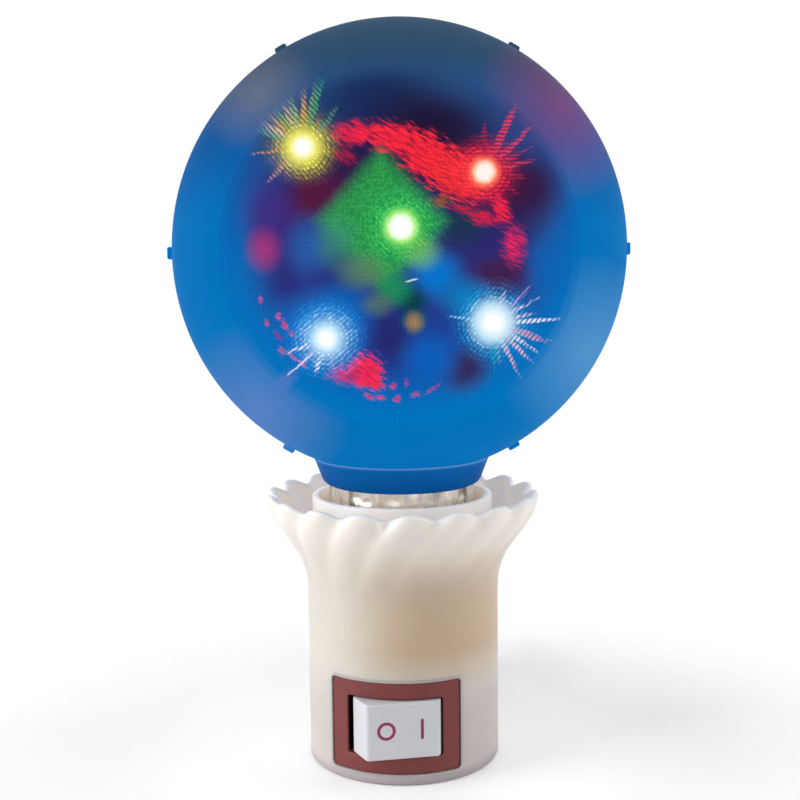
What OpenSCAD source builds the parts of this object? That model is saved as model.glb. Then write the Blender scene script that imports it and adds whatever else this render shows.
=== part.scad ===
// Plug-in night lamp: a blue globe bulb with coloured LEDs, screwed into a cream
// lampholder with a petal rim, a rocker switch in front and mains pins behind.
// The switch faces -Y, the pins point along +Y and the lamp stands on z = 0.

/* [Sleeve] */
// Outer diameter of the straight sleeve
sleeve_d = 34.8; // [33:0.1:38]
// Wall of the sleeve
sleeve_wall = 1; // [0.9:0.05:1.3]
// Rounding of the sleeve's lower edge
sleeve_round = 0.7; // [0.3:0.1:0.8]
// Thickness of the base cap
base_t = 1.5; // [1.2:0.1:1.8]

/* [Petals] */
// Petals round the rim
petals = 18; // [12:1:22]
// Mean diameter of the petal rim
rim_d = 48; // [44:0.2:52]
// Height of the flared petal skirt
flare_h = 16.2; // [14:0.2:20]
// Straight rise at the foot of the flare
flare_straight = 8; // [6:0.5:9]
// Height where the flare turns upright
flare_turn_h = 11.5; // [10:0.5:12.5]
// Reach of the flare at that height
flare_turn_r = 7.4; // [6:0.1:8]
// Wall of a petal at the rim
petal_t = 1.2; // [0.9:0.05:1.5]
// How far the petals swell in and out of the mean rim
petal_swell = 0.7; // [0.3:0.05:0.9]
// How far the petals rise above and dip below the mean rim
petal_rise = 0.6; // [0.3:0.05:0.9]
// Turn of the flutes from the foot of the flare to the rim, in degrees
petal_swirl = 24; // [0:1:36]
// Bearing of the first petal's crown, in degrees from +X
petal_start = -80.5; // [-90:0.5:-66]
// Drop of the mean rim below the holder tube's edge
rim_drop = 0.4; // [0:0.1:1.5]

/* [Switch] */
// Width of the switch surround
panel_w = 22.6; // [21.6:0.1:24]
// Height of the switch surround
panel_h = 16.4; // [15.6:0.1:18]
// Height of the surround's lower edge above the table
panel_z = 2; // [1.9:0.1:3]
// Corner radius of the surround
panel_round = 0.8; // [0.4:0.1:1.2]
// Depth of the surround's face below the sleeve's surface
panel_sink = 0.2; // [0.1:0.05:0.3]
// Thickness of the surround
panel_t = 1.5; // [1.4:0.05:1.7]
// Width of the retaining lip behind the sleeve's wall
panel_lip = 1; // [0.6:0.1:1.2]
// Width of the rocker opening
opening_w = 16.5; // [16:0.1:17]
// Height of the rocker opening
opening_h = 10.3; // [9.5:0.1:11]
// Gap between the rocker and the opening's ends
rocker_gap = 0.5; // [0.4:0.05:0.8]
// Gap between the rocker and the opening's long sides
rocker_side_gap = 0.35; // [0.3:0.05:0.5]
// Length of the rocker's flat face
rocker_face = 12.2; // [11:0.1:13]
// Height of the rocker's face above its pivot
rocker_rise = 6.3; // [5.8:0.1:6.8]
// Tilt of the rocker to either side, in degrees
rocker_tilt = 16; // [12:0.5:17]
// Depth of the pivot below the sleeve's surface
pivot_depth = 5.4; // [5.2:0.1:5.8]
// Diameter of the rocker's pivots
pivot_d = 2.6; // [2:0.1:3]
// Wall of the switch body
body_wall = 1.2; // [1:0.1:1.3]
// Depth of the switch body from the pivot to its floor
body_depth = 7; // [6.6:0.1:7.4]

/* [Plug] */
// Width of the plug body
plug_w = 26; // [25:0.5:27]
// Height of the plug body
plug_h = 13.6; // [12:0.2:14]
// Clear space between the globe and the wall
wall_gap = 2.6; // [1:0.2:8]
// Diameter of a pin
pin_d = 4; // [4:0.1:4.8]
// Length of a pin outside the plug
pin_l = 19; // [15:0.5:22]
// Distance between the pins
pin_pitch = 18.6; // [17.5:0.1:19]
// Length of a pin inside the plug
pin_seat = 13.5; // [10:0.5:18]

/* [Lampholder] */
// Wall of the holder tube
holder_wall = 1.2; // [1:0.1:1.4]
// Thickness of the holder's floor
floor_t = 1.6; // [1.4:0.1:2.5]
// Height of the sprung centre contact above the floor
leaf_h = 1.8; // [1.5:0.1:2.5]
// Thickness of the holder's contact metal
contact_t = 0.4; // [0.3:0.05:0.5]
// Height of the threaded shell in the holder
shell_h = 24.5; // [20:0.5:25]
// Diameter of the wires
wire_d = 1.8; // [1.4:0.1:2]

/* [Neck and cap] */
// Diameter over the lamp's screw cap
cap_d = 26.4; // [25:0.1:26.6]
// Wall of the screw cap
cap_wall = 0.4; // [0.3:0.05:0.5]
// Length of the threaded shell of the screw cap
cap_shell = 22; // [20:0.5:23]
// Length of the screw cap over its contact
cap_l = 27; // [26:0.5:28]
// Diameter of the cap's centre contact
button_d = 9.6; // [8:0.2:11]
// Length of the screw cap that shows above the holder
cap_show = 2; // [1:0.1:4]
// Diameter of the neck collar where it meets the globe
collar_top_d = 31.4; // [30.5:0.1:33]
// Diameter of the neck collar at its lower edge
collar_low_d = 29.2; // [28.4:0.1:30.2]
// Height of the neck collar
collar_h = 4.9; // [4.6:0.1:6]
// Rounding of the collar's lower edge
collar_round = 1.4; // [0.5:0.1:1.6]
// Thickness of the collar's floor
collar_floor = 1.2; // [1:0.1:1.5]

/* [Globe] */
// Outer diameter of the globe
globe_d = 80; // [78:0.5:95]
// Wall of the globe
globe_wall = 1.6; // [1.4:0.1:2]
// Snap tabs round the seam
tabs = 6; // [4:2:6]
// Length of a tab along the seam
tab_l = 2.2; // [1.5:0.1:3]
// Height of a tab above the globe
tab_h = 0.9; // [0.5:0.1:1.2]
// Depth of a tab on each side of the seam
tab_t = 1.5; // [1:0.1:2]
// Reach of the seam's inner lip
seam_lip = 1.2; // [0.8:0.1:1.5]
// Turn of the lamp in its holder once it is screwed home, in degrees
home_turn = 7; // [0:1:20]

/* [Lights] */
// Diameter of the LED board
board_d = 54; // [54:0.5:60]
// Thickness of the LED board
board_t = 1.6; // [1:0.1:2]
// Distance from the LED board's face to the star film
film_gap = 12; // [10:0.5:14]
// Thickness of the star film
film_t = 0.4; // [0.2:0.1:0.6]
// Wall of the drum that holds the film
drum_wall = 1.2; // [1:0.1:2]
// Room between the drum's front edge and the globe
drum_gap = 0.4; // [0.3:0.1:2]
// Diameter of an LED
led_d = 5; // [4.6:0.1:5.4]
// Length of an LED over its dome
led_l = 8.6; // [7:0.1:9]
// Width of the stand that carries the board
stand_w = 12; // [8:0.5:12]
// Thickness of the stand
stand_t = 1.5; // [1.2:0.1:2]

/* [Fits] */
// Clearance of glued and snapped pieces
fit = 0.1; // [0.05:0.01:0.15]
// Radial clearance of the rocker's pivots
pivot_fit = 0.05; // [0.02:0.01:0.08]
// Gap between the two threads
thread_gap = 0.35; // [0.3:0.05:0.5]
// Gap between two contacts that touch when the lamp is on
contact_gap = 0.2; // [0.1:0.05:0.3]

/* [Hidden] */
$fn = 96;
// Overshoot of a cutting solid past the face it cuts
eps = 1;
// Steps of a small arc in a profile
arc_steps = 6;

// Radii of the sleeve, the surround and the holder
sleeve_r = sleeve_d / 2;
sleeve_ir = sleeve_r - sleeve_wall;
panel_r = sleeve_r - panel_sink;
panel_ir = panel_r - panel_t;
holder_r = sleeve_ir - fit;
holder_ir = holder_r - holder_wall;
cap_r = cap_d / 2;
cap_ir = cap_r - cap_wall;
shell_ir = cap_r + thread_gap;
shell_r = shell_ir + contact_t;

// Heights, stacked up from the table
panel_top = panel_z + panel_h;
switch_z = panel_z + panel_h / 2;
floor_z = panel_top + panel_lip + 4 * fit;
floor_top = floor_z + floor_t;
cap_tip = floor_top + leaf_h + contact_gap;
cap_top = cap_tip + cap_l;
holder_top = cap_top - cap_show;
rim_z = holder_top - rim_drop;
flare_z = rim_z - flare_h;
collar_top = cap_top + collar_h;
collar_seat = cap_top + collar_floor;
globe_r = globe_d / 2;
globe_ir = globe_r - globe_wall;
globe_z = collar_top + sqrt(pow(globe_r, 2) - pow(collar_top_d / 2, 2));

// Petal skirt: flank and root inside the sleeve's wall, and the grid of its surface
root_inset = 0.1;
root_r = sleeve_r - root_inset;
root_t = sleeve_wall - 2 * root_inset;
root_sink = 0.8;
petal_columns = 8;
flare_rows = 9;
// Sharpness of the creases, and the crown of the rim as a share of the petal's wall
crease_power = 3;
rim_crown = 0.4;

// Switch mechanism, seen from the pivot: outwards is positive
pivot_y = -(sleeve_r - pivot_depth);
rocker_half = opening_w / 2 - rocker_gap;
rocker_h = opening_h - 2 * rocker_side_gap;
rocker_skin = 1.2;
rocker_foot = 1.2;
rocker_keel = 1.9;
rocker_keel_wall = 0.7;
rocker_foot_cut = [0.7, 0.9];
rocker_edge = 0.5;
stem_r = 1.9;
stem_reach = 3;
plunger_d = 1.8;
plunger_tip = 4.35;
spring_bore = 1.5;
cavity_w = opening_w + 2 * rocker_gap;
cavity_h = opening_h + fit;
body_floor_y = pivot_y + body_depth;
body_back_y = body_floor_y + body_wall + 2 * fit;
blade_l = 11;
blade_w = 3;
blade_t = 0.5;
blade_lift = 1.4;
knuckle_r = 0.7;
blade_y = body_floor_y - blade_lift;
blade_tilt = rocker_tilt / 2;
terminal_t = 0.8;
terminal_w = 4.8;
terminal_tail = 4.2;
terminal_end_y = body_back_y + terminal_tail;
point_d = 1.8;
point_inset = 0.3;
load_x = -(blade_l / 2 - point_inset);

// Plug behind the sleeve
plug_face_y = globe_r + tab_h + wall_gap;
plug_grip = 1.8;
plug_in_y = sqrt(pow(sleeve_ir, 2) - pow(plug_w / 2, 2)) - plug_grip;
plug_lip = 1.1;
plug_lip_t = 1.6;
plug_lip_w = plug_w - plug_h;
plug_lip_y = sqrt(pow(sleeve_ir - fit, 2) - pow(plug_lip_w / 2, 2));
plug_plate = 2;
plug_plate_t = 2.5;
pin_r = pin_d / 2;
pin_shoulder = 0.3;
pin_seat_r = pin_r - pin_shoulder;
pin_start_y = plug_face_y - pin_seat;
channel_gap = 0.4;
channel_r = wire_d / 2 + channel_gap;

// Fixings inside the base
post_inset = 3.8;
post_x = sleeve_ir - post_inset;
post_y = -2;
post_r = 2.2;
screw_d = 2.2;
screw_head_d = 3.6;
screw_head_h = 1.1;
screw_sink = 0.3;
rivet_d = 2;
rivet_head_d = 3.2;
rivet_head_h = 0.6;
flange_w = 3.7;
flange_ir = cap_r - flange_w;
rivet_inset = 0.7;
shell_rivet_x = (shell_r + flange_ir) / 2 - rivet_inset;
shell_rivet_y = 3;
leaf_rivet_x = -6.4;
leaf_w = 5;

// Neck: the globe's spigot sits in the collar, the collar's plug in the screw cap
collar_wall = 0.8;
spigot_wall = 1.4;
spigot_r = collar_low_d / 2 - collar_wall;
spigot_ir = spigot_r - spigot_wall;
collar_hole = 9.5;
collar_plug_l = 5;
collar_plug_wall = 1.5;
button_t = 1.6;
insulator_rim = 1;

// Light unit inside the globe
board_r = board_d / 2;
board_face_y = -2;
board_back_y = board_face_y + board_t;
drum_ledge = 1.2;
drum_ir = board_r - drum_ledge;
film_y = board_face_y - film_gap;
film_front_y = film_y - film_t;
film_r = sqrt(globe_ir * globe_ir - film_front_y * film_front_y) - drum_gap - drum_wall - fit;
foil_t = 0.3;
foot_t = 1.5;
driver_w = 15;
driver_t = 1.2;
driver_rise = 8;
driver_z = cap_tip + driver_rise;
block_z = driver_z + 2;
film_capacitor_size = [10, 6, 11];
rectifier_size = [8, 2.5, 6];
can_r = 3;
can_h = 7;
can_z = driver_z + 9;
stand_drop = 5;
stand_top = globe_z - stand_drop;
stand_screws = [8, 16];
led_flange = 0.3;
led_flange_t = 1;
lead_d = 1;
lead_x = 4;
// LED places on the board, across and up from the globe's centre
led_yellow_at = [-15.6, 16.6];
led_red_at = [14.4, 13];
led_green_at = [0.1, 3.9];
led_white_left_at = [-12.8, -14.9];
led_white_right_at = [15.8, -12.4];
leds_at = [led_yellow_at, led_red_at, led_green_at, led_white_left_at, led_white_right_at];

cream = [0.89, 0.85, 0.78];
red_brown = [0.60, 0.31, 0.29];
white_plastic = [0.92, 0.93, 0.96];
nickel = [0.75, 0.73, 0.70];
brass = [0.80, 0.66, 0.36];
globe_blue = [0.05, 0.42, 0.74];
neck_blue = [0.03, 0.28, 0.62];
board_green = [0.12, 0.36, 0.22];
dark_plastic = [0.16, 0.16, 0.18];

// Shared shapes

// Flat slot shape with round ends, w over all
module stadium(w, h) {
  square([w - h, h], center = true);
  for (side = [-1, 1])
    translate([side * (w - h) / 2, 0])
      circle(d = h);
}

// Rectangle with round corners, centred
module round_rect(w, h, r) {
  square([w - 2 * r, h], center = true);
  square([w, h - 2 * r], center = true);
  for (x = [-1, 1], y = [-1, 1])
    translate([x * (w / 2 - r), y * (h / 2 - r)])
      circle(r);
}

// Extrudes a shape drawn in X and Z along Y, from y0 to y1
module along_y(y0, y1) {
  translate([0, y0, 0])
    rotate([-90, 0, 0])
      linear_extrude(y1 - y0)
        mirror([0, 1])
          children();
}

// Tube along Z
module ring(r_out, r_in, h) {
  difference() {
    cylinder(r = r_out, h = h);
    translate([0, 0, -eps])
      cylinder(r = r_in, h = h + 2 * eps);
  }
}

// Points on an arc in a profile
function arc(centre, r, from, to, steps) =
  [for (k = [0:steps]) let (a = from + (to - from) * k / steps) centre + r * [cos(a), sin(a)]];

// Wires

// Point on a smooth curve through the points p, between p[i] and p[i + 1]
function spline(p, i, t) =
  let (a = p[max(i - 1, 0)], b = p[i], c = p[i + 1], d = p[min(i + 2, len(p) - 1)])
  0.5 * (2 * b + (c - a) * t + (2 * a - 5 * b + 4 * c - d) * t * t + (3 * b - a - 3 * c + d) * pow(t, 3));

function smooth_path(p, steps) =
  [for (i = [0:len(p) - 2], k = [0:steps - 1]) spline(p, i, k / steps), p[len(p) - 1]];

function unit(v) = v / norm(v);

// Round wire along a smooth path through the points p
module wire(p) {
  sides = 8;
  steps = 3;
  slant = [1, 1, 0.6];
  path = smooth_path(p, steps);
  rings = len(path);
  points = [for (i = [0:rings - 1])
    let (ahead = unit(path[min(i + 1, rings - 1)] - path[max(i - 1, 0)]),
         across = unit(cross(ahead, slant)),
         up = cross(across, ahead))
    for (k = [0:sides - 1])
      path[i] + wire_d / 2 * (cos(360 * k / sides) * across + sin(360 * k / sides) * up)];
  flanks = [for (i = [0:rings - 2], k = [0:sides - 1])
    let (a = i * sides + k, b = i * sides + (k + 1) % sides)
    each [[a, b, b + sides], [a, b + sides, a + sides]]];
  last = (rings - 1) * sides;
  ends = [for (k = [1:sides - 2]) each [[0, k + 1, k], [last, last + k, last + k + 1]]];
  polyhedron(points, concat(flanks, ends));
}

// Sleeve and base

function bezier(p, t) =
  p[0] * pow(1 - t, 3) + 3 * p[1] * t * pow(1 - t, 2) + 3 * p[2] * t * t * (1 - t) + p[3] * pow(t, 3);

function bezier_slope(p, t) =
  (p[1] - p[0]) * pow(1 - t, 2) + 2 * (p[2] - p[1]) * t * (1 - t) + (p[3] - p[2]) * t * t;

flare_curve = [[root_r, flare_z], [root_r, flare_z + flare_straight],
  [root_r + flare_turn_r, flare_z + flare_turn_h], [rim_d / 2, rim_z]];

// Crown of a petal is 1 and the crease between two petals is -1
function petal_wave(bearing, t) =
  let (turn = petals * (bearing - petal_start + petal_swirl * (1 - t)))
  1 - 2 * pow(abs(sin(turn / 2)), crease_power);

// Radius and height on the skirt: depth 0 is the outside and 1 the inside, beyond is past the rim
function flare_point(bearing, t, depth, beyond = 0) =
  let (slope = unit(bezier_slope(flare_curve, t)),
       thick = root_t + (petal_t - root_t) * t,
       wave = petal_wave(bearing, t),
       swell = [petal_swell * wave * t * t, petal_rise * wave * pow(t, 3)])
  bezier(flare_curve, t) + swell - depth * thick * [slope[1], -slope[0]] + beyond * slope;

// Closed cross-section of the skirt at one bearing
function flare_section(bearing) = concat(
  [[root_r, flare_z - root_sink]],
  [for (k = [0:flare_rows]) flare_point(bearing, k / flare_rows, 0)],
  [flare_point(bearing, 1, 0.5, petal_t * rim_crown)],
  [for (k = [flare_rows:-1:0]) flare_point(bearing, k / flare_rows, 1)],
  [[root_r - root_t, flare_z - root_sink]]);

module petal_skirt() {
  columns = petals * petal_columns;
  sections = [for (i = [0:columns - 1]) flare_section(360 * i / columns)];
  rows = len(sections[0]);
  points = [for (i = [0:columns - 1], q = sections[i])
    [q[0] * cos(360 * i / columns), q[0] * sin(360 * i / columns), q[1]]];
  faces = [for (i = [0:columns - 1], j = [0:rows - 1])
    let (a = i * rows + j, b = i * rows + (j + 1) % rows,
         c = ((i + 1) % columns) * rows + (j + 1) % rows, d = ((i + 1) % columns) * rows + j)
    each [[a, b, c], [a, c, d]]];
  polyhedron(points, faces);
}

// Straight part of the sleeve in section
module sleeve_section() {
  translate([sleeve_ir, 0])
    square([sleeve_wall - sleeve_round, flare_z]);
  translate([sleeve_ir, sleeve_round])
    square([sleeve_wall, flare_z - sleeve_round]);
  intersection() {
    translate([sleeve_r - sleeve_round, sleeve_round])
      circle(sleeve_round);
    translate([sleeve_ir, 0])
      square([sleeve_wall, sleeve_wall]);
  }
}

module sleeve() {
  color(cream)
    union() {
      difference() {
        rotate_extrude()
          sleeve_section();
        along_y(-sleeve_r - eps, 0)
          translate([0, switch_z])
            round_rect(panel_w, panel_h, panel_round);
        along_y(0, sleeve_r + eps)
          translate([0, switch_z])
            stadium(plug_w + 2 * fit, plug_h + 2 * fit);
      }
      petal_skirt();
    }
}

module base_cap() {
  color(cream)
    difference() {
      union() {
        cylinder(r = sleeve_ir - fit / 2, h = base_t);
        for (side = [-1, 1])
          translate([side * post_x, post_y, 0])
            cylinder(r = post_r, h = floor_z);
      }
      for (side = [-1, 1])
        translate([side * post_x, post_y, -eps]) {
          cylinder(d = screw_d + 2 * fit, h = floor_z + 2 * eps);
          cylinder(d = screw_head_d + 4 * fit, h = eps + screw_sink + screw_head_h);
        }
    }
}

module base_screws() {
  color(nickel)
    for (side = [-1, 1])
      translate([side * post_x, post_y, screw_sink]) {
        cylinder(d = screw_head_d, h = screw_head_h);
        cylinder(d = screw_d, h = floor_top - screw_sink - 2 * fit);
      }
}

// Lampholder

module holder_tube() {
  color(cream)
    difference() {
      union() {
        translate([0, 0, floor_z])
          ring(holder_r, holder_ir, holder_top - floor_z);
        translate([0, 0, floor_z])
          cylinder(r = holder_ir + holder_wall / 2, h = floor_t);
      }
      for (side = [-1, 1]) {
        translate([side * post_x, post_y, floor_z - eps])
          cylinder(d = screw_d, h = floor_t + eps + fit);
        translate([side * shell_rivet_x, shell_rivet_y, floor_z - eps])
          cylinder(d = rivet_d, h = floor_t + 2 * eps);
      }
      translate([leaf_rivet_x, 0, floor_z - eps])
        cylinder(d = rivet_d, h = floor_t + 2 * eps);
    }
}

module socket_shell() {
  color(brass)
    difference() {
      translate([0, 0, floor_top]) {
        ring(shell_r, shell_ir, shell_h);
        ring(shell_ir + contact_t / 2, flange_ir, contact_t);
      }
      for (side = [-1, 1])
        translate([side * shell_rivet_x, shell_rivet_y, floor_top - eps])
          cylinder(d = rivet_d, h = contact_t + 2 * eps);
    }
}

// Sprung strip: riveted foot, rise and flat tip under the lamp's contact
module centre_contact() {
  foot_end = leaf_rivet_x - rivet_head_d / 2;
  rise_start = leaf_rivet_x + rivet_head_d / 2 + contact_t;
  rise_end = -1.6;
  tip_end = 2.6;
  t = contact_t;
  color(brass)
    difference() {
      translate([0, leaf_w / 2, floor_top])
        rotate([90, 0, 0])
          linear_extrude(leaf_w)
            polygon([[foot_end, 0], [rise_start, 0], [rise_end, leaf_h - t], [tip_end, leaf_h - t],
              [tip_end, leaf_h], [rise_end - t / 2, leaf_h], [rise_start - t / 2, t], [foot_end, t]]);
      translate([leaf_rivet_x, 0, floor_top - eps])
        cylinder(d = rivet_d, h = contact_t + 2 * eps);
    }
}

module rivet() {
  translate([0, 0, floor_z - rivet_head_h])
    cylinder(d = rivet_head_d, h = rivet_head_h);
  translate([0, 0, floor_z - rivet_head_h / 2])
    cylinder(d = rivet_d, h = floor_t + contact_t + rivet_head_h);
  translate([0, 0, floor_top + contact_t])
    cylinder(d = rivet_head_d, h = rivet_head_h);
}

module socket_rivets() {
  color(nickel) {
    for (side = [-1, 1])
      translate([side * shell_rivet_x, shell_rivet_y, 0])
        rivet();
    translate([leaf_rivet_x, 0, 0])
      rivet();
  }
}

// Switch

module switch_surround() {
  tall = panel_top + panel_lip;
  color(red_brown)
    difference() {
      union() {
        intersection() {
          ring(panel_r, panel_ir, tall);
          along_y(-sleeve_r, 0)
            translate([0, switch_z])
              round_rect(panel_w - 2 * fit, panel_h - 2 * fit, panel_round);
        }
        intersection() {
          ring(sleeve_ir - fit, panel_ir, tall);
          translate([-panel_w / 2 - panel_lip, -sleeve_r, panel_z + fit])
            cube([panel_w + 2 * panel_lip, sleeve_r, panel_h + panel_lip - fit]);
        }
      }
      along_y(-sleeve_r - eps, 0)
        translate([0, switch_z])
          round_rect(opening_w, opening_h, panel_round / 2);
    }
}

module switch_body() {
  body_w = cavity_w + 2 * body_wall;
  body_h = cavity_h + 2 * body_wall;
  color(dark_plastic)
    difference() {
      intersection() {
        translate([-body_w / 2, -sleeve_r, switch_z - body_h / 2])
          cube([body_w, sleeve_r + body_back_y, body_h]);
        cylinder(r = panel_ir - fit, h = panel_top + body_h);
      }
      translate([-cavity_w / 2, -sleeve_r - eps, switch_z - cavity_h / 2])
        cube([cavity_w, sleeve_r + eps + body_floor_y, cavity_h]);
      translate([0, pivot_y, switch_z - body_h / 2 - eps])
        cylinder(r = pivot_d / 2 + pivot_fit, h = body_h + 2 * eps);
      for (x = [0, load_x])
        translate([x - terminal_t / 2 - fit / 2, body_floor_y - eps, switch_z - terminal_w / 2 - fit / 2])
          cube([terminal_t + fit, body_back_y - body_floor_y + 2 * eps, terminal_w + fit]);
    }
}

// Strip that carries the see-saw blade's knuckle on its inner edge
module terminal_common() {
  edge_y = blade_y + knuckle_r + contact_gap;
  color(brass) {
    translate([-terminal_t / 2, edge_y, switch_z - blade_w / 2])
      cube([terminal_t, body_floor_y - edge_y + fit, blade_w]);
    translate([-terminal_t / 2, body_floor_y, switch_z - terminal_w / 2])
      cube([terminal_t, terminal_end_y - body_floor_y, terminal_w]);
  }
}

// Strip with the fixed contact under the blade's left arm
module terminal_load() {
  arm_y = blade_y + abs(load_x) * sin(blade_tilt) + blade_t / 2;
  color(brass) {
    translate([load_x, body_floor_y, switch_z])
      rotate([90, 0, 0])
        cylinder(d = point_d, h = body_floor_y - arm_y - contact_gap);
    translate([load_x - terminal_t / 2, body_floor_y - fit, switch_z - terminal_w / 2])
      cube([terminal_t, terminal_end_y - body_floor_y + fit, terminal_w]);
  }
}

// Places the switched-on rocker: children are drawn with the pivot at the origin, outwards along -Y
module on_pivot() {
  translate([0, pivot_y, switch_z])
    rotate([0, 0, rocker_tilt])
      children();
}

// Rocker in section, from its keel to its flat face
module rocker_section() {
  face = rocker_face / 2;
  drop = atan2(rocker_half - face, rocker_rise - rocker_foot);
  corner = [face - rocker_edge, -(rocker_rise - rocker_edge)];
  right = concat(
    [[stem_r + rocker_keel_wall, rocker_keel],
     [rocker_half - rocker_foot_cut[0], rocker_foot_cut[1] - rocker_foot],
     [rocker_half, -rocker_foot]],
    arc(corner, rocker_edge, -drop, -90, arc_steps));
  left = [for (k = [len(right) - 1:-1:0]) [-right[k][0], right[k][1]]];
  polygon(concat(right, left));
}

module rocker() {
  hollow_h = rocker_h - 2 * rocker_skin;
  hollow_half = rocker_face / 2 - rocker_skin;
  roof = rocker_rise - rocker_skin;
  color(white_plastic)
    on_pivot() {
      difference() {
        translate([0, 0, -rocker_h / 2])
          linear_extrude(rocker_h)
            rocker_section();
        translate([-hollow_half, -roof, -hollow_h / 2])
          cube([2 * hollow_half, roof + rocker_keel + eps, hollow_h]);
      }
      difference() {
        translate([0, stem_reach, 0])
          rotate([90, 0, 0])
            cylinder(r = stem_r, h = stem_reach + roof + rocker_skin / 2);
        translate([0, stem_reach + eps, 0])
          rotate([90, 0, 0])
            cylinder(d = plunger_d + 2 * fit, h = stem_reach + eps + spring_bore);
      }
      for (side = [-1, 1])
        translate([0, 0, side * (rocker_h / 2 + body_wall / 2)])
          cylinder(d = pivot_d, h = body_wall + 2 * fit, center = true);
    }
}

module switch_plunger() {
  color(white_plastic)
    on_pivot() {
      translate([0, plunger_tip, 0])
        rotate([90, 0, 0])
          cylinder(d = plunger_d, h = plunger_tip);
      translate([0, plunger_tip, 0])
        sphere(d = plunger_d);
    }
}

module plunger_spring() {
  color(nickel)
    on_pivot()
      translate([0, -fit, 0])
        rotate([90, 0, 0])
          ring(plunger_d / 2, plunger_d / 4, spring_bore - 2 * fit);
}

// See-saw blade on the half-round knuckle that rocks on the common terminal's edge
module contact_blade() {
  color(brass)
    translate([0, blade_y, switch_z])
      rotate([0, 0, -blade_tilt]) {
        cube([blade_l, blade_t, blade_w], center = true);
        translate([0, 0, -blade_w / 2])
          rotate_extrude(angle = 180)
            square([knuckle_r, blade_w]);
      }
}

// Plug

module plug_body() {
  color(cream)
    translate([0, 0, switch_z])
      difference() {
        union() {
          along_y(plug_in_y, plug_face_y)
            stadium(plug_w, plug_h);
          along_y(plug_lip_y - plug_lip_t, plug_lip_y)
            square([plug_lip_w, plug_h + 2 * plug_lip], center = true);
          along_y(plug_face_y - plug_plate_t, plug_face_y)
            stadium(plug_w + 2 * plug_plate, plug_h + plug_plate);
        }
        for (side = [-1, 1]) {
          along_y(pin_start_y, plug_face_y + eps)
            translate([side * pin_pitch / 2, 0])
              circle(pin_seat_r);
          along_y(0, pin_start_y + eps)
            translate([side * pin_pitch / 2, 0])
              circle(channel_r);
        }
      }
}

module plug_pins() {
  color(nickel)
    for (side = [-1, 1])
      translate([side * pin_pitch / 2, pin_start_y, switch_z])
        rotate([-90, 0, 0])
          rotate_extrude() {
            square([pin_seat_r, pin_seat + eps]);
            translate([0, pin_seat])
              square([pin_r, pin_l - pin_r / 2]);
            square([pin_r / 2, pin_seat + pin_l]);
            translate([pin_r / 2, pin_seat + pin_l - pin_r / 2])
              circle(pin_r / 2);
          }
}

// Wires, each from its first terminal to its last
wire_turn = 2.2;
wire_run = 1.4;
wire_hang = 4;
wire_gap = 0.25;
wire_mid_y = (plug_in_y + pin_start_y) / 2;
wire_bend_y = plug_in_y - wire_turn;
wire_end_y = terminal_end_y + wire_gap;
tag_z = floor_z - rivet_head_h - fit;

module neutral_wire() {
  x = -pin_pitch / 2;
  color("royalblue")
    wire([[x, pin_start_y - fit, switch_z], [x, wire_mid_y, switch_z], [x, plug_in_y + wire_run, switch_z],
      [x, wire_bend_y, switch_z + wire_run], [(x - shell_rivet_x) / 2, shell_rivet_y, tag_z - wire_hang],
      [-shell_rivet_x, shell_rivet_y, tag_z - wire_run], [-shell_rivet_x, shell_rivet_y, tag_z]]);
}

module live_wire() {
  x = pin_pitch / 2;
  color("saddlebrown")
    wire([[x, pin_start_y - fit, switch_z], [x, wire_mid_y, switch_z], [x, plug_in_y + wire_run, switch_z],
      [x - wire_run / 2, wire_bend_y, switch_z], [x / 2, wire_bend_y - wire_run / 2, switch_z],
      [wire_d / 2, wire_end_y + wire_run, switch_z], [0, wire_end_y + wire_run / 2, switch_z],
      [0, wire_end_y, switch_z]]);
}

module switched_wire() {
  color("black")
    wire([[load_x, wire_end_y, switch_z], [load_x, wire_end_y + wire_run / 2, switch_z],
      [load_x, wire_end_y + wire_run, switch_z + wire_run], [leaf_rivet_x, wire_d / 2, tag_z - wire_hang],
      [leaf_rivet_x, 0, tag_z - wire_run], [leaf_rivet_x, 0, tag_z]]);
}

// Screw cap and neck

// Places a piece of the lamp as it comes to rest in the holder's thread
module screwed_home() {
  rotate([0, 0, home_turn])
    children();
}

module cap_contact() {
  color(brass)
    translate([0, 0, cap_tip])
      cylinder(d = button_d, h = button_t);
}

module cap_insulator() {
  low = cap_tip + button_t;
  color(dark_plastic)
    translate([0, 0, low])
      cylinder(r1 = button_d / 2 + insulator_rim, r2 = cap_ir, h = cap_top - cap_shell - low);
}

module screw_cap() {
  color(nickel)
    translate([0, 0, cap_top - cap_shell])
      ring(cap_r, cap_ir, cap_shell);
}

// Tapered collar: its top follows the globe and its lower plug fills the mouth of the screw cap
module neck_collar() {
  low_r = collar_low_d / 2;
  top_r = collar_top_d / 2;
  bore_r = spigot_r + fit;
  plug_r = cap_ir - fit;
  reach = globe_r + fit;
  outer_a = -acos(top_r / reach);
  inner_a = -acos(bore_r / reach);
  lean = atan2(top_r - low_r, collar_h - collar_round);
  outline = concat(
    arc([low_r - collar_round, cap_top + collar_round], collar_round, -90, -lean, arc_steps),
    arc([0, globe_z], reach, outer_a, inner_a, arc_steps),
    [[bore_r, collar_seat], [collar_hole, collar_seat], [collar_hole, cap_top],
     [plug_r - collar_plug_wall, cap_top - fit], [plug_r - collar_plug_wall, cap_top - collar_plug_l],
     [plug_r, cap_top - collar_plug_l], [plug_r, cap_top]]);
  color(neck_blue)
    rotate_extrude()
      polygon(outline);
}

// Globe

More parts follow.
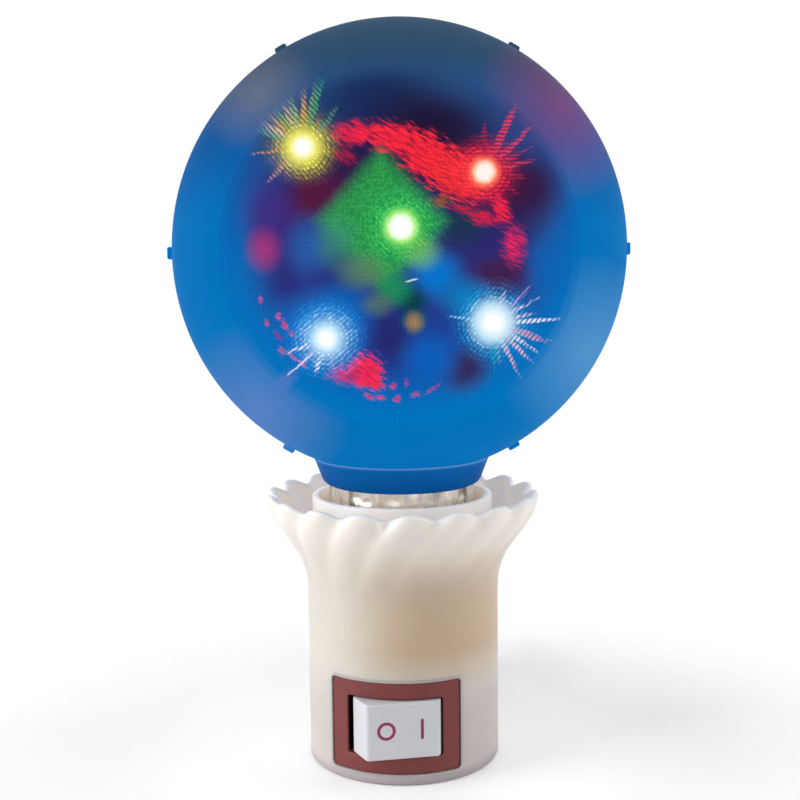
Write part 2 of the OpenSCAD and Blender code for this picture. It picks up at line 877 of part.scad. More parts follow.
// Section of the globe's wall and its spigot, from the lamp's axis outwards
module globe_section() {
  intersection() {
    difference() {
      union() {
        circle(globe_r);
        translate([0, collar_seat - globe_z])
          square([spigot_r, globe_z - collar_seat]);
      }
      circle(globe_ir);
      translate([-eps, -globe_d])
        square([spigot_ir + eps, globe_d]);
    }
    translate([0, -globe_d])
      square([globe_d, 2 * globe_d]);
  }
}

// Half of the globe: side 1 is the rear and -1 the front
module globe_half(side) {
  rotate([0, 0, side > 0 ? 0 : 180])
    rotate_extrude(angle = 180)
      globe_section();
  for (k = [0:tabs - 1])
    rotate([0, 90 - 180 / tabs - k * 360 / tabs, 0])
      translate([globe_r - globe_wall / 2, side > 0 ? 0 : -tab_t, -tab_l / 2])
        cube([globe_wall / 2 + tab_h, tab_t, tab_l]);
}

// Ring in the seam, on the inner half of the wall
module seam_ring(r_out, r_in, length) {
  difference() {
    along_y(-length, 0)
      difference() {
        circle(r_out);
        circle(r_in);
      }
    translate([0, 0, -globe_d])
      cylinder(r = spigot_r + 2 * fit, h = globe_d);
  }
}

module globe_front_shell() {
  color(globe_blue)
    translate([0, 0, globe_z])
      difference() {
        globe_half(-1);
        seam_ring(globe_ir + globe_wall / 2 + fit / 2, globe_ir - eps, seam_lip + fit);
      }
}

module globe_rear_shell() {
  color(globe_blue)
    translate([0, 0, globe_z]) {
      globe_half(1);
      seam_ring(globe_ir + globe_wall / 2 - fit / 2, globe_ir, seam_lip);
    }
}

// Light unit

module board_stand() {
  foot_z = collar_seat;
  color(white_plastic)
    difference() {
      union() {
        translate([0, 0, foot_z])
          cylinder(r = spigot_ir - fit, h = foot_t);
        translate([-stand_w / 2, board_back_y, foot_z])
          cube([stand_w, stand_t, stand_top - foot_z]);
      }
      translate([-driver_w / 2 - fit, -driver_t / 2 - fit, foot_z - eps])
        cube([driver_w + 2 * fit, driver_t + 2 * fit, foot_t + eps]);
      for (drop = stand_screws)
        translate([0, board_back_y - eps, globe_z - drop])
          rotate([-90, 0, 0])
            cylinder(d = screw_d, h = stand_t + 2 * eps);
    }
}

module board_screws() {
  head_y = board_face_y - screw_head_h;
  color(nickel)
    for (drop = stand_screws)
      translate([0, head_y, globe_z - drop])
        rotate([-90, 0, 0]) {
          cylinder(d = screw_head_d, h = screw_head_h);
          cylinder(d = screw_d, h = screw_head_h + board_t + stand_t);
        }
}

module led_board() {
  color(board_green)
    translate([0, 0, globe_z])
      along_y(board_face_y, board_back_y)
        difference() {
          circle(board_r);
          for (drop = stand_screws)
            translate([0, -drop])
              circle(d = screw_d);
        }
}

module reflector_foil() {
  color("silver")
    translate([0, 0, globe_z])
      along_y(board_face_y - foil_t, board_face_y)
        difference() {
          circle(drum_ir - fit);
          for (place = leds_at)
            translate(place)
              circle(d = led_d + 2 * led_flange + 2 * fit);
          for (drop = stand_screws)
            translate([0, -drop])
              circle(d = screw_head_d + 2 * fit);
        }
}

// Round-topped LED that looks along -Y
module led(place, tint) {
  color(tint)
    translate([place[0], board_face_y, globe_z + place[1]])
      rotate([90, 0, 0]) {
        cylinder(d = led_d + 2 * led_flange, h = led_flange_t);
        cylinder(d = led_d, h = led_l - led_d / 2);
        translate([0, 0, led_l - led_d / 2])
          sphere(d = led_d);
      }
}

module led_yellow() {
  led(led_yellow_at, "gold");
}

module led_red() {
  led(led_red_at, "red");
}

module led_green() {
  led(led_green_at, "limegreen");
}

module led_white_left() {
  led(led_white_left_at, "lightcyan");
}

module led_white_right() {
  led(led_white_right_at, "lightcyan");
}

// Flared drum with the board in its rear step and the film in its front step, drawn as radius and way forward
module film_drum() {
  board_seat = board_r + fit;
  film_seat = film_r + fit;
  color(white_plastic)
    translate([0, 0, globe_z])
      rotate([90, 0, 0])
        rotate_extrude()
          polygon([
            [board_seat, -board_back_y],
            [board_seat + drum_wall, -board_back_y],
            [film_seat + drum_wall, -film_front_y],
            [film_seat, -film_front_y],
            [film_seat, -film_y],
            [film_r - drum_ledge, -film_y],
            [drum_ir, -board_face_y],
            [board_seat, -board_face_y]]);
}

module star_film() {
  color([0.7, 0.8, 0.95, 0.5])
    translate([0, 0, globe_z])
      along_y(film_front_y, film_y)
        circle(film_r);
}

// Driver inside the screw cap

module driver_board() {
  color(board_green)
    translate([-driver_w / 2, -driver_t / 2, driver_z])
      cube([driver_w, driver_t, collar_seat + foot_t - fit - driver_z]);
}

module film_capacitor() {
  color("gold")
    translate([-film_capacitor_size[0] / 2, driver_t / 2, block_z])
      cube(film_capacitor_size);
}

module bridge_rectifier() {
  color(dark_plastic)
    translate([-rectifier_size[0] / 2, -driver_t / 2 - rectifier_size[1], block_z])
      cube(rectifier_size);
}

module smoothing_capacitor() {
  color("midnightblue")
    translate([0, -driver_t / 2 - can_r, can_z])
      cylinder(r = can_r, h = can_h);
}

// Two leads from the driver up the back of the stand to the LED board
module led_leads() {
  color("red")
    for (side = [-1, 1])
      translate([side * lead_x, board_back_y + stand_t + lead_d / 2, collar_seat + foot_t])
        cylinder(d = lead_d, h = stand_top - collar_seat - foot_t);
}

sleeve();
base_cap();
base_screws();
holder_tube();
socket_shell();
centre_contact();
socket_rivets();
switch_surround();
switch_body();
terminal_common();
terminal_load();
plug_body();
plug_pins();
neutral_wire();
live_wire();
switched_wire();
rocker();
switch_plunger();
plunger_spring();
contact_blade();
screwed_home() cap_contact();
screwed_home() globe_front_shell();
screwed_home() globe_rear_shell();
screwed_home() neck_collar();
screwed_home() screw_cap();
screwed_home() cap_insulator();
screwed_home() board_stand();
screwed_home() board_screws();
screwed_home() led_board();
screwed_home() reflector_foil();
screwed_home() led_yellow();
screwed_home() led_red();
screwed_home() led_green();
screwed_home() led_white_left();
screwed_home() led_white_right();
screwed_home() film_drum();
screwed_home() star_film();
screwed_home() driver_board();
screwed_home() film_capacitor();
screwed_home() bridge_rectifier();
screwed_home() smoothing_capacitor();
screwed_home() led_leads();
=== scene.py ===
import math

import bpy
import numpy as np
from mathutils import Euler, Matrix, Vector


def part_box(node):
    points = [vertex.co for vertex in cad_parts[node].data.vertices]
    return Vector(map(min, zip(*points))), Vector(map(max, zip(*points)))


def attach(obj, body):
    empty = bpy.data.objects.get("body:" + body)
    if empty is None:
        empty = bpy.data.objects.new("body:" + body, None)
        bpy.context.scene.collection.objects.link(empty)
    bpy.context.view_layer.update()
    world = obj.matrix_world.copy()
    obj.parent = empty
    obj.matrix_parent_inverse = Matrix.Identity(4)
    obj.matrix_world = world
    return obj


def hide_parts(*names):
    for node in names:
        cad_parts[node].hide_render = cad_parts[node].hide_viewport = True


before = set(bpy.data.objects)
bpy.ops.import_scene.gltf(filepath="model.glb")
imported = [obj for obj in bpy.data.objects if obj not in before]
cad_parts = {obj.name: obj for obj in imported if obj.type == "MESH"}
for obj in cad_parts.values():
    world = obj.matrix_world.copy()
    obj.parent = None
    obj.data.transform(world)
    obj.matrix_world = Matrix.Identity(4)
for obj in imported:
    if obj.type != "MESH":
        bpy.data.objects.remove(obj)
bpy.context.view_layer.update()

bl_info = {
    "name": "Globe night lamp",
    "version": (1, 0, 0),
    "blender": (4, 5, 0),
    "location": "View3D > Sidebar > Night lamp",
    "description": "Dresses the packed frame of a plug-in globe night lamp",
    "category": "Add Mesh",
}

MM = 0.001
FULL_TURN = 2 * math.pi

# Heights and centres that the frame already knows
GLOBE_Z = sum(corner.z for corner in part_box("star_film")) / 2
CAP_LOW, CAP_TOP = (corner.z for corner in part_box("screw_cap"))
SOCKET_LOW, SOCKET_TOP = (corner.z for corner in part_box("socket_shell"))
HOLDER_LOW, HOLDER_TOP = (corner.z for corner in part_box("holder_tube"))
PLUG_START, PLUG_FACE = (corner.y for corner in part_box("plug_body"))
PIN_START, PIN_TIP = (corner.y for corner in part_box("plug_pins"))
PLUG_Z = sum(corner.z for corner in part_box("plug_pins")) / 2


def hex_colour(text):
    """Linear red, green, blue and alpha of an sRGB hex value."""
    srgb = np.array([int(text[k:k + 2], 16) for k in (1, 3, 5)]) / 255
    linear = np.where(srgb <= 0.04045, srgb / 12.92, ((srgb + 0.055) / 1.055) ** 2.4)
    return (*linear.tolist(), 1.0)


def length(label, millimetres, about):
    """Length property in metres with its default given in millimetres."""
    return bpy.props.FloatProperty(
        name=label, description=about, default=millimetres * MM, min=0.0, precision=5,
        unit="LENGTH", subtype="DISTANCE")


def turn(label, degrees, about):
    """Angle property with its default given in degrees."""
    return bpy.props.FloatProperty(
        name=label, description=about, default=math.radians(degrees), unit="ROTATION", subtype="ANGLE")


def tint(label, text, about):
    """Colour property with its default given as an sRGB hex value."""
    return bpy.props.FloatVectorProperty(
        name=label, description=about, default=hex_colour(text), size=4, min=0.0, max=1.0, subtype="COLOR")


class NightLampSizes(bpy.types.PropertyGroup):
    """Sizes of the pieces that the looks add or refine"""

    sleeve_radius: length("Sleeve radius", 17.4, "Outer radius of the straight sleeve")
    sleeve_wall: length("Sleeve wall", 1.0, "Wall of the straight sleeve")
    sleeve_round: length("Sleeve foot round", 0.7, "Rounding of the sleeve's lower edge")
    flare_foot: length("Flare foot", 31.8, "Height where the petal skirt starts")
    flare_straight: length("Flare straight", 8.0, "Straight rise at the foot of the flare")
    flare_turn_height: length("Flare turn height", 11.5, "Height above the foot where the flare turns upright")
    flare_turn_reach: length("Flare turn reach", 7.3, "Reach of the flare at that height")
    rim_radius: length("Rim radius", 24.0, "Mean radius of the petal rim")
    rim_height: length("Rim height", 48.0, "Mean height of the petal rim")
    petal_wall: length("Petal wall", 1.2, "Wall of a petal at the rim")
    petal_swell: length("Petal swell", 0.7, "How far petals swell in and out of the mean rim")
    petal_rise: length("Petal rise", 0.6, "How far petals rise above and dip below the mean rim")
    petals: bpy.props.IntProperty(name="Petals", description="Petals round the rim", default=18, min=6, max=24)
    petal_swirl: turn("Petal swirl", 24.0, "Turn of the flutes from the foot of the flare to the rim")
    petal_start: turn("First petal", -80.5, "Bearing of the first petal's crown from +X")
    panel_width: length("Surround width", 22.6, "Width of the switch surround's opening in the sleeve")
    panel_height: length("Surround height", 16.4, "Height of the switch surround's opening in the sleeve")
    panel_sink: length("Surround sink", 0.2, "Depth of the surround's face below the sleeve")
    opening_width: length("Opening width", 16.5, "Width of the rocker opening")
    opening_height: length("Opening height", 10.3, "Height of the rocker opening")
    rocker_height: length("Rocker height", 9.9, "Height of the rocker")
    rocker_tilt: turn("Rocker tilt", 16.0, "Tilt of the switched-on rocker about its upright pivot")
    mark_stroke: length("Mark stroke", 0.54, "Width of the lines of the two switch marks")
    plug_width: length("Plug width", 26.0, "Width of the plug body")
    plug_height: length("Plug height", 13.6, "Height of the plug body")
    pin_radius: length("Pin radius", 2.0, "Radius of a mains pin")
    pin_pitch: length("Pin pitch", 18.6, "Distance between the two mains pins")
    pin_sleeve: length("Pin sleeve", 10.0, "Length of the insulating sleeve on a pin")
    holder_radius: length("Holder radius", 16.3, "Outer radius of the holder tube")
    holder_wall: length("Holder wall", 1.2, "Wall of the holder tube")
    cap_radius: length("Cap radius", 13.2, "Outer radius of the screw cap")
    thread_pitch: length("Thread pitch", 3.629, "Rise of the round thread in one turn")
    thread_depth: length("Thread depth", 1.05, "Depth of the round thread")
    sheet_metal: length("Sheet metal", 0.4, "Thickness of the formed sheet of cap and socket")
    thread_gap: length("Thread gap", 0.35, "Play between the cap's thread and the socket's")
    collar_low: length("Collar lower radius", 14.6, "Radius of the neck collar at its lower edge")
    collar_top: length("Collar upper radius", 15.7, "Radius of the neck collar where it meets the globe")
    collar_height: length("Collar height", 4.9, "Height of the neck collar")
    collar_round: length("Collar round", 1.8, "Rounding of the collar's lower edge")
    globe_radius: length("Globe radius", 40.0, "Outer radius of the globe")
    globe_wall: length("Globe wall", 1.6, "Wall of the globe's half shells")
    seam_chamfer: length("Seam chamfer", 0.22, "Bevel on each half shell along the seam")
    home_turn: turn("Lamp turn", 7.0, "Turn of the lamp in its holder once it is screwed home")
    window_clear: length("Window", 29.5, "Radius of the clearest part of the front shell")
    window_solid: length("Window edge", 33.8, "Radius where the front shell turns solid blue")


class NightLampColours(bpy.types.PropertyGroup):
    """Colours of the lamp's finishes"""

    cream: tint("Cream", "#E8DED3", "Translucent cream plastic of the lampholder")
    # Painted light on the thin petal rim, also used as the rim's painted glow
    cream_rim_painted_light: tint("Pale cream", "#F6EBE2", "Cream where light comes through the thin petal rim")
    # Brass showing through the wall, and also the painted warm shade on the +X side
    cream_warm: tint("Warm cream", "#D6B088", "Cream where the brass socket shows through the wall")
    # Painted shade on the lower sleeve, darker towards the foot
    cream_painted_shade: tint("Shaded cream", "#A89DA6", "Cream at the lower edge, where the wall is thickest")
    red_brown: tint("Red-brown", "#7C322F", "Switch surround")
    rocker_white: tint("Rocker white", "#DADCE1", "Rocker and other white mouldings")
    mark: tint("Marks", "#A02060", "Ink of the switch marks")
    globe: tint("Globe blue", "#0173BB", "Lower part of the globe's shells")
    globe_high: tint("Globe upper blue", "#0C5AA0", "Globe above its middle")
    globe_top: tint("Globe top", "#2E4C66", "Crown of the globe, where least light comes through")
    neck: tint("Neck blue", "#06589E", "Neck collar")
    nickel: tint("Nickel", "#F0E8DC", "Plated screw cap and pins")
    brass: tint("Brass", "#D2B26A", "Pressed contact metal")


# Meshes


def arc(centre, radius, start, end, steps):
    """Points on a circular arc in a profile, from one angle in degrees to another."""
    angle = np.radians(np.linspace(start, end, steps))
    return np.column_stack([centre[0] + radius * np.cos(angle), centre[1] + radius * np.sin(angle)])


def bearings(count):
    """Evenly spaced bearings once round."""
    return np.linspace(0, FULL_TURN, count, endpoint=False)


def turned(radius, height, columns):
    """Rings of a surface of revolution about Z. Radius and height are given for each row, or row by column."""
    around = bearings(columns)
    shape = (len(radius), columns)
    radius, height = (
        np.broadcast_to(v if np.ndim(v) == 2 else np.asarray(v)[:, None], shape) for v in (radius, height))
    return np.stack([radius * np.cos(around), radius * np.sin(around), height], -1)


def rounded_loop(width, height, radius, across=28, up=12, corner=8):
    """Closed loop round a rectangle with circular corners, anticlockwise, with the same count on any size."""
    sides = np.array([[1, -1], [1, 1], [-1, 1], [-1, -1]])
    middle = sides * [width / 2 - radius, height / 2 - radius]
    angle = np.radians(np.linspace(-90, 0, corner)[None] + np.arange(4)[:, None] * 90)
    corners = middle[:, None] + radius * np.stack([np.cos(angle), np.sin(angle)], -1)
    follow = np.roll(corners[:, 0], -1, 0)
    rows = []
    for k, count in enumerate((up, across, up, across)):
        share = np.linspace(0, 1, count + 1)[1:-1, None]
        rows += [corners[k], corners[k, -1] * (1 - share) + follow[k] * share]
    return np.concatenate(rows)


def softened(corners, trim, steps=9):
    """Closed loop through corners, each replaced by a parabola that starts and ends at trim from its tip."""
    back, fore = np.roll(corners, 1, 0) - corners, np.roll(corners, -1, 0) - corners
    back, fore = (v / np.linalg.norm(v, axis=1)[:, None] * np.asarray(trim)[:, None] for v in (back, fore))
    t = np.linspace(0, 1, steps)[None, :, None]
    tip = corners[:, None]
    return ((1 - t) ** 2 * (tip + back[:, None]) + 2 * t * (1 - t) * tip + t * t * (tip + fore[:, None])).reshape(-1, 2)


def drawn_in(loop, inset):
    """Anticlockwise loop moved inwards by inset, each point along the mitre of its two edges."""
    edge = np.roll(loop, -1, 0) - loop
    normal = np.column_stack([edge[:, 1], -edge[:, 0]]) / np.linalg.norm(edge, axis=1)[:, None]
    before = np.roll(normal, 1, 0)
    mitre = (before + normal) / (1 + np.sum(before * normal, 1))[:, None]
    return loop - inset * mitre


def skinned(rings, loop=False):
    """Vertices and faces over a stack of rings, an array (rings, points, 3). Quads join each ring to the next.
    With loop the last ring meets the first, and otherwise a flat face fills each end. Where the volume that the
    faces enclose comes out negative they are turned round, so that they point outwards."""
    count, around = rings.shape[:2]
    points = rings.reshape(-1, 3)
    index = np.arange(count * around).reshape(count, around)
    low, high = (index, np.roll(index, -1, 0)) if loop else (index[:-1], index[1:])
    quads = np.stack([low, np.roll(low, -1, 1), np.roll(high, -1, 1), high], -1).reshape(-1, 4)
    ends = [] if loop else [index[0, ::-1], index[-1]]
    triangles = [quads[:, [0, 1, 2]], quads[:, [0, 2, 3]]]
    triangles += [np.column_stack([np.full(around - 2, e[0]), e[1:-1], e[2:]]) for e in ends]
    a, b, c = points[np.concatenate(triangles)].transpose(1, 0, 2)
    faces = [*quads.tolist(), *(e.tolist() for e in ends)]
    if np.sum(a * np.cross(b, c)) < 0:
        faces = [f[::-1] for f in faces]
    return points, faces


def mesh_of(name, parts):
    """One mesh of several (vertices, faces) parts."""
    start = np.cumsum([0] + [len(points) for points, _ in parts])
    faces = [[v + s for v in face] for s, (_, part) in zip(start, parts) for face in part]
    mesh = bpy.data.meshes.new(name)
    mesh.from_pydata(np.concatenate([points for points, _ in parts]), [], faces)
    return mesh


def cut(mesh, cutters):
    """Mesh less its cutters, by Blender's exact boolean."""
    scene = bpy.context.scene
    made = [bpy.data.objects.new(m.name, m) for m in (mesh, *cutters)]
    for item in made:
        scene.collection.objects.link(item)
    for cutter in made[1:]:
        hole = made[0].modifiers.new(cutter.name, "BOOLEAN")
        hole.object, hole.operation, hole.solver = cutter, "DIFFERENCE", "EXACT"
    result = bpy.data.meshes.new_from_object(made[0].evaluated_get(bpy.context.evaluated_depsgraph_get()))
    for item in made:
        used = item.data
        bpy.data.objects.remove(item)
        bpy.data.meshes.remove(used)
    if not result.polygons:
        raise RuntimeError("the boolean left nothing")
    return result


def place(name, shape, body, finish, replaces=(), crease=35):
    """Puts a mesh, or a list of parts, into the scene as a piece with its finish, the body it rides on and the nodes
    it stands for. Edges that turn by more than the crease, in degrees, stay sharp."""
    mesh = mesh_of(name, shape) if isinstance(shape, list) else shape
    mesh.name = name
    mesh.polygons.foreach_set("use_smooth", np.ones(len(mesh.polygons), bool))
    mesh.set_sharp_from_angle(angle=math.radians(crease))
    mesh.materials.clear()
    mesh.materials.append(finish)
    made = bpy.data.objects.new(name, mesh)
    bpy.context.scene.collection.objects.link(made)
    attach(made, body)
    if replaces:
        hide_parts(*replaces)
    return made


def dress(finish, *nodes):
    """Gives carried-over CAD nodes their finish."""
    for name in nodes:
        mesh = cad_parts[name].data
        mesh.materials.clear()
        mesh.materials.append(finish)


# Materials


def connect(tree, node, inputs):
    """Links each named input of a node to a socket or to another node's first output in use, or sets its value."""
    for key, value in inputs.items():
        if isinstance(value, bpy.types.Node):
            value = next(socket for socket in value.outputs if socket.enabled)
        if isinstance(value, bpy.types.NodeSocket):
            tree.links.new(value, node.inputs[key])
        else:
            node.inputs[key].default_value = value


def add(tree, kind, inputs=None, stops=(), **settings):
    """Adds a shader node with its settings, the stops of its colour ramp and its inputs."""
    node = tree.nodes.new("ShaderNode" + kind)
    for key, value in settings.items():
        setattr(node, key, value)
    connect(tree, node, inputs or {})
    if stops:
        elements = node.color_ramp.elements
        for _ in range(len(stops) - len(elements)):
            elements.new(1.0)
        for element, (position, colour) in zip(elements, stops):
            element.position = position
            element.color = colour
    return node


def new_finish(name):
    """New material with its node tree, Principled shader and Object coordinates."""
    made = bpy.data.materials.new(name)
    made.use_nodes = True
    tree = made.node_tree
    shader = tree.nodes["Principled BSDF"]
    return made, tree, shader, add(tree, "TexCoord").outputs["Object"]


def grain_bump(tree, coords, size, depth, strength=0.4):
    """Normal of a fine moulded or rolled grain: noise of one grain size, that deep."""
    grain = add(tree, "TexNoise", {"Vector": coords, "Scale": 1 / size, "Detail": 3.0, "Roughness": 0.6})
    return add(tree, "Bump", {"Strength": strength, "Distance": depth, "Height": grain})


def clouded(tree, coords, size, colour, other, low=0.35, high=0.75):
    """Colour that drifts between two tones in soft clouds of one size."""
    cloud = add(tree, "TexNoise", {"Vector": coords, "Scale": 1 / size, "Detail": 2.0})
    share = add(tree, "MapRange", {"Value": cloud, "From Min": low, "From Max": high})
    return add(tree, "Mix", {0: share, 6: colour, 7: other}, data_type="RGBA")


def dimmed(colour, share):
    """Colour at a share of its strength."""
    return (*(c * share for c in colour[:3]), 1.0)


def clouded_finish(name, tone, other, cloud, grain, strength, surface, spread=(0.35, 0.75)):
    """Finish that drifts between two tones in clouds of one size, under a grain of one size and depth, all in
    millimetres. Surface holds the shader's other inputs."""
    made, tree, shader, coords = new_finish(name)
    size, depth = grain
    connect(tree, shader, {
        "Base Color": clouded(tree, coords, cloud * MM, tone, other, *spread),
        "Normal": grain_bump(tree, coords, size * MM, depth * MM, strength), **surface})
    return made


def lamp_front(tree, coords, sizes):
    """Millimetres across and up from the globe's centre, on the plane that the lamp shows to the front."""
    return add(tree, "Mapping", {
        "Vector": coords, "Location": (0, 0, GLOBE_Z), "Rotation": (math.pi / 2, 0, sizes.home_turn),
        "Scale": (MM, MM, 0)}, vector_type="TEXTURE")


def ball_on(tree, plane, x, y, wide, high, angle=0):
    """Ellipse on a plane: the plane measured in its half axes, and a share that rises from its edge to its middle."""
    local = add(tree, "Mapping", {
        "Vector": plane, "Location": (x, y, 0), "Rotation": (0, 0, math.radians(angle)), "Scale": (wide, high, 1)},
        vector_type="TEXTURE")
    return local, add(tree, "TexGradient", {"Vector": local}, gradient_type="SPHERICAL").outputs["Fac"]


def cream_polypropylene(colours):
    """Moulded polypropylene: milky and soft-edged, so light bleeds into shadows. Towards the thin rim it is paler with
    painted light, and it has a faint painted glow, as if the lamp's light came through. The brass socket inside warms
    the wall around its own height, and painted warm shade makes that band stronger towards the shaded +X side. Painted
    shade darkens the lower part towards the foot."""
    made, tree, shader, coords = new_finish("Cream polypropylene, moulded")
    milky = clouded(tree, coords, 11 * MM, colours.cream, dimmed(colours.cream, 0.93))
    place_of = add(tree, "SeparateXYZ", {"Vector": coords})
    # Painted light: the cream turns paler towards the rim
    thin = add(tree, "MapRange", {"Value": place_of.outputs["Z"], "From Min": 33 * MM, "From Max": 46 * MM},
               interpolation_type="SMOOTHSTEP")
    pale = add(tree, "Mix", {0: thin, 6: milky, 7: colours.cream_rim_painted_light}, data_type="RGBA")
    share = add(tree, "MapRange", {"Value": place_of.outputs["Z"], "From Max": 50 * MM})
    band = add(tree, "ValToRGB", {"Fac": share}, stops=[
        (0.32, hex_colour("#000000")), (0.47, hex_colour("#E8E8E8")), (0.64, hex_colour("#D8D8D8")),
        (0.84, hex_colour("#000000"))])
    # Painted warm shade: the brass band is made stronger towards +X, the side away from the key light
    near = add(tree, "MapRange", {
        "Value": place_of.outputs["X"], "From Min": -12 * MM, "From Max": 5 * MM, "To Min": 0.05, "To Max": 0.95},
        interpolation_type="SMOOTHSTEP")
    brass_band_and_painted_shade = add(tree, "Math", {0: band, 1: near}, operation="MULTIPLY")
    warm = add(tree, "Mix", {0: brass_band_and_painted_shade, 6: pale, 7: colours.cream_warm}, data_type="RGBA")
    # Painted shade: the sleeve darkens towards its foot
    foot = add(tree, "ValToRGB", {"Fac": share}, stops=[
        (at / 50, (grey, grey, grey, 1.0)) for at, grey in ((0.5, 0.9), (2.2, 0.4), (13, 0.32), (20, 0.0))])
    shaded = add(tree, "Mix", {0: foot, 6: warm, 7: colours.cream_painted_shade}, data_type="RGBA")
    # Painted glow: the rim emits pale cream, though it is no lamp
    through = add(tree, "Mix", {0: thin, 6: hex_colour("#000000"), 7: colours.cream_rim_painted_light}, data_type="RGBA")
    connect(tree, shader, {
        "Base Color": shaded, "Roughness": 0.42, "IOR": 1.49, "Subsurface Weight": 0.9,
        "Subsurface Radius": (1.0, 0.8, 0.6), "Subsurface Scale": 2.6 * MM,
        "Emission Color": through, "Emission Strength": 0.12,
        "Normal": grain_bump(tree, coords, 0.5 * MM, 0.03 * MM)})
    return made


def red_brown_abs(colours):
    """Moulded ABS with a fine spark-eroded skin: matt, with faint clouds in the colour."""
    return clouded_finish("Red-brown ABS, spark-eroded", colours.red_brown, dimmed(colours.red_brown, 0.82), 3,
                          (0.4, 0.05), 0.5, {"Roughness": 0.5, "IOR": 1.53})


def white_abs(colours):
    """Polished ABS: clean white with a soft gloss and hardly any grain."""
    return clouded_finish("White ABS, polished", colours.rocker_white, dimmed(colours.rocker_white, 0.95), 6,
                          (0.6, 0.02), 0.25, {"Roughness": 0.32, "IOR": 1.53})


def pad_printed_ink(colours):
    """Pad-printed enamel ink: a thin, slightly uneven magenta line."""
    made, tree, shader, coords = new_finish("Magenta pad-printed ink")
    film = clouded(tree, coords, 0.5 * MM, colours.mark, dimmed(colours.mark, 0.75))
    connect(tree, shader, {"Base Color": film, "Roughness": 0.4})
    return made


def black_phenolic():
    """Pressed phenolic: near-black, with fine brown-grey filler and a dull gloss."""
    return clouded_finish("Black phenolic, pressed", hex_colour("#1B1A1A"), hex_colour("#2E2B29"), 0.8,
                          (0.5, 0.03), 0.4, {"Roughness": 0.45}, (0.45, 0.65))


# Share of its own blue that the clear front keeps
CLEAR_TINT = 0.12
# Light that the satin shell spreads outwards from each LED: millimetres across and up, reach, colour and share
SHELL_GLOWS = [
    (26.0, 22.0, 15, "#9C3C6C", 0.5),
    (-22.5, 24.5, 10, "#948C84", 0.4),
    (-23.5, -26.0, 15, "#8894D0", 0.38),
    (30.5, -17.0, 16, "#78B4E4", 0.45),
]


def blue_polystyrene(colours, sizes, window):
    """Tinted polystyrene shell, satin outside and lit from within: it glows towards the neck and darkens to the
    crown, most of its light is its own, and the light of the LEDs spreads into the satin. With a window the front is
    clear before the film, and like all clear plastic it shows more of its own blue where it is seen at a slant."""
    made, tree, shader, coords = new_finish("Blue polystyrene, clear front" if window else "Blue polystyrene, satin")
    place_of = add(tree, "SeparateXYZ", {"Vector": coords})
    share = add(tree, "MapRange", {
        "Value": place_of.outputs["Z"], "From Min": GLOBE_Z - sizes.globe_radius,
        "From Max": GLOBE_Z + sizes.globe_radius})
    rise = add(tree, "ValToRGB", {"Fac": share}, stops=[
        (0.0, colours.globe), (0.55, colours.globe), (0.71, colours.globe_high), (0.88, hex_colour("#2D4B6C")),
        (0.98, colours.globe_top)])
    cloud = add(tree, "TexNoise", {"Vector": coords, "Scale": 1 / (14 * MM), "Detail": 3.0})
    tone = add(tree, "MapRange", {"Value": cloud, "To Min": 0.88, "To Max": 1.12})
    glow = add(tree, "Mix", {0: 1.0, 6: rise, 7: tone}, data_type="RGBA", blend_type="MULTIPLY")
    flat = lamp_front(tree, coords, sizes)
    forward = add(tree, "MapRange", {"Value": place_of.outputs["Y"], "From Min": 22 * MM, "From Max": -4 * MM},
                  interpolation_type="SMOOTHSTEP")
    for x, y, far, colour, most in SHELL_GLOWS:
        _, ball = ball_on(tree, flat, x, y, far, far)
        part = add(tree, "Math", {0: ball, 1: most}, operation="MULTIPLY")
        part = add(tree, "Math", {0: part, 1: forward}, operation="MULTIPLY")
        glow = add(tree, "Mix", {0: part, 6: glow, 7: hex_colour(colour)}, data_type="RGBA")
    if window:
        reach = add(tree, "VectorMath", {0: flat}, operation="LENGTH")
        solid = add(tree, "MapRange", {
            "Value": reach, "From Min": sizes.window_clear / MM, "From Max": sizes.window_solid / MM,
            "To Min": CLEAR_TINT, "To Max": 1.0}, interpolation_type="SMOOTHSTEP")
        slant = add(tree, "MapRange", {
            "Value": add(tree, "LayerWeight").outputs["Facing"], "From Min": 0.33, "From Max": 0.52},
            interpolation_type="SMOOTHSTEP")
        tinted = add(tree, "Math", {0: solid, 1: slant}, operation="MAXIMUM")
        satin = add(tree, "MapRange", {"Value": tinted, "From Min": CLEAR_TINT, "From Max": 0.35})
        glow = add(tree, "Mix", {0: satin, 6: hex_colour("#003053"), 7: glow}, data_type="RGBA")
        connect(tree, shader, {"Alpha": tinted})
    skin = add(tree, "Mix", {0: 1.0, 6: glow, 7: (0.15, 0.15, 0.15, 1.0)}, data_type="RGBA", blend_type="MULTIPLY")
    connect(tree, shader, {
        "Base Color": skin, "Roughness": 0.6, "IOR": 1.59, "Specular IOR Level": 0.006,
        "Emission Color": glow, "Emission Strength": 0.87,
        "Normal": grain_bump(tree, coords, 0.7 * MM, 0.03 * MM, 0.3)})
    return made


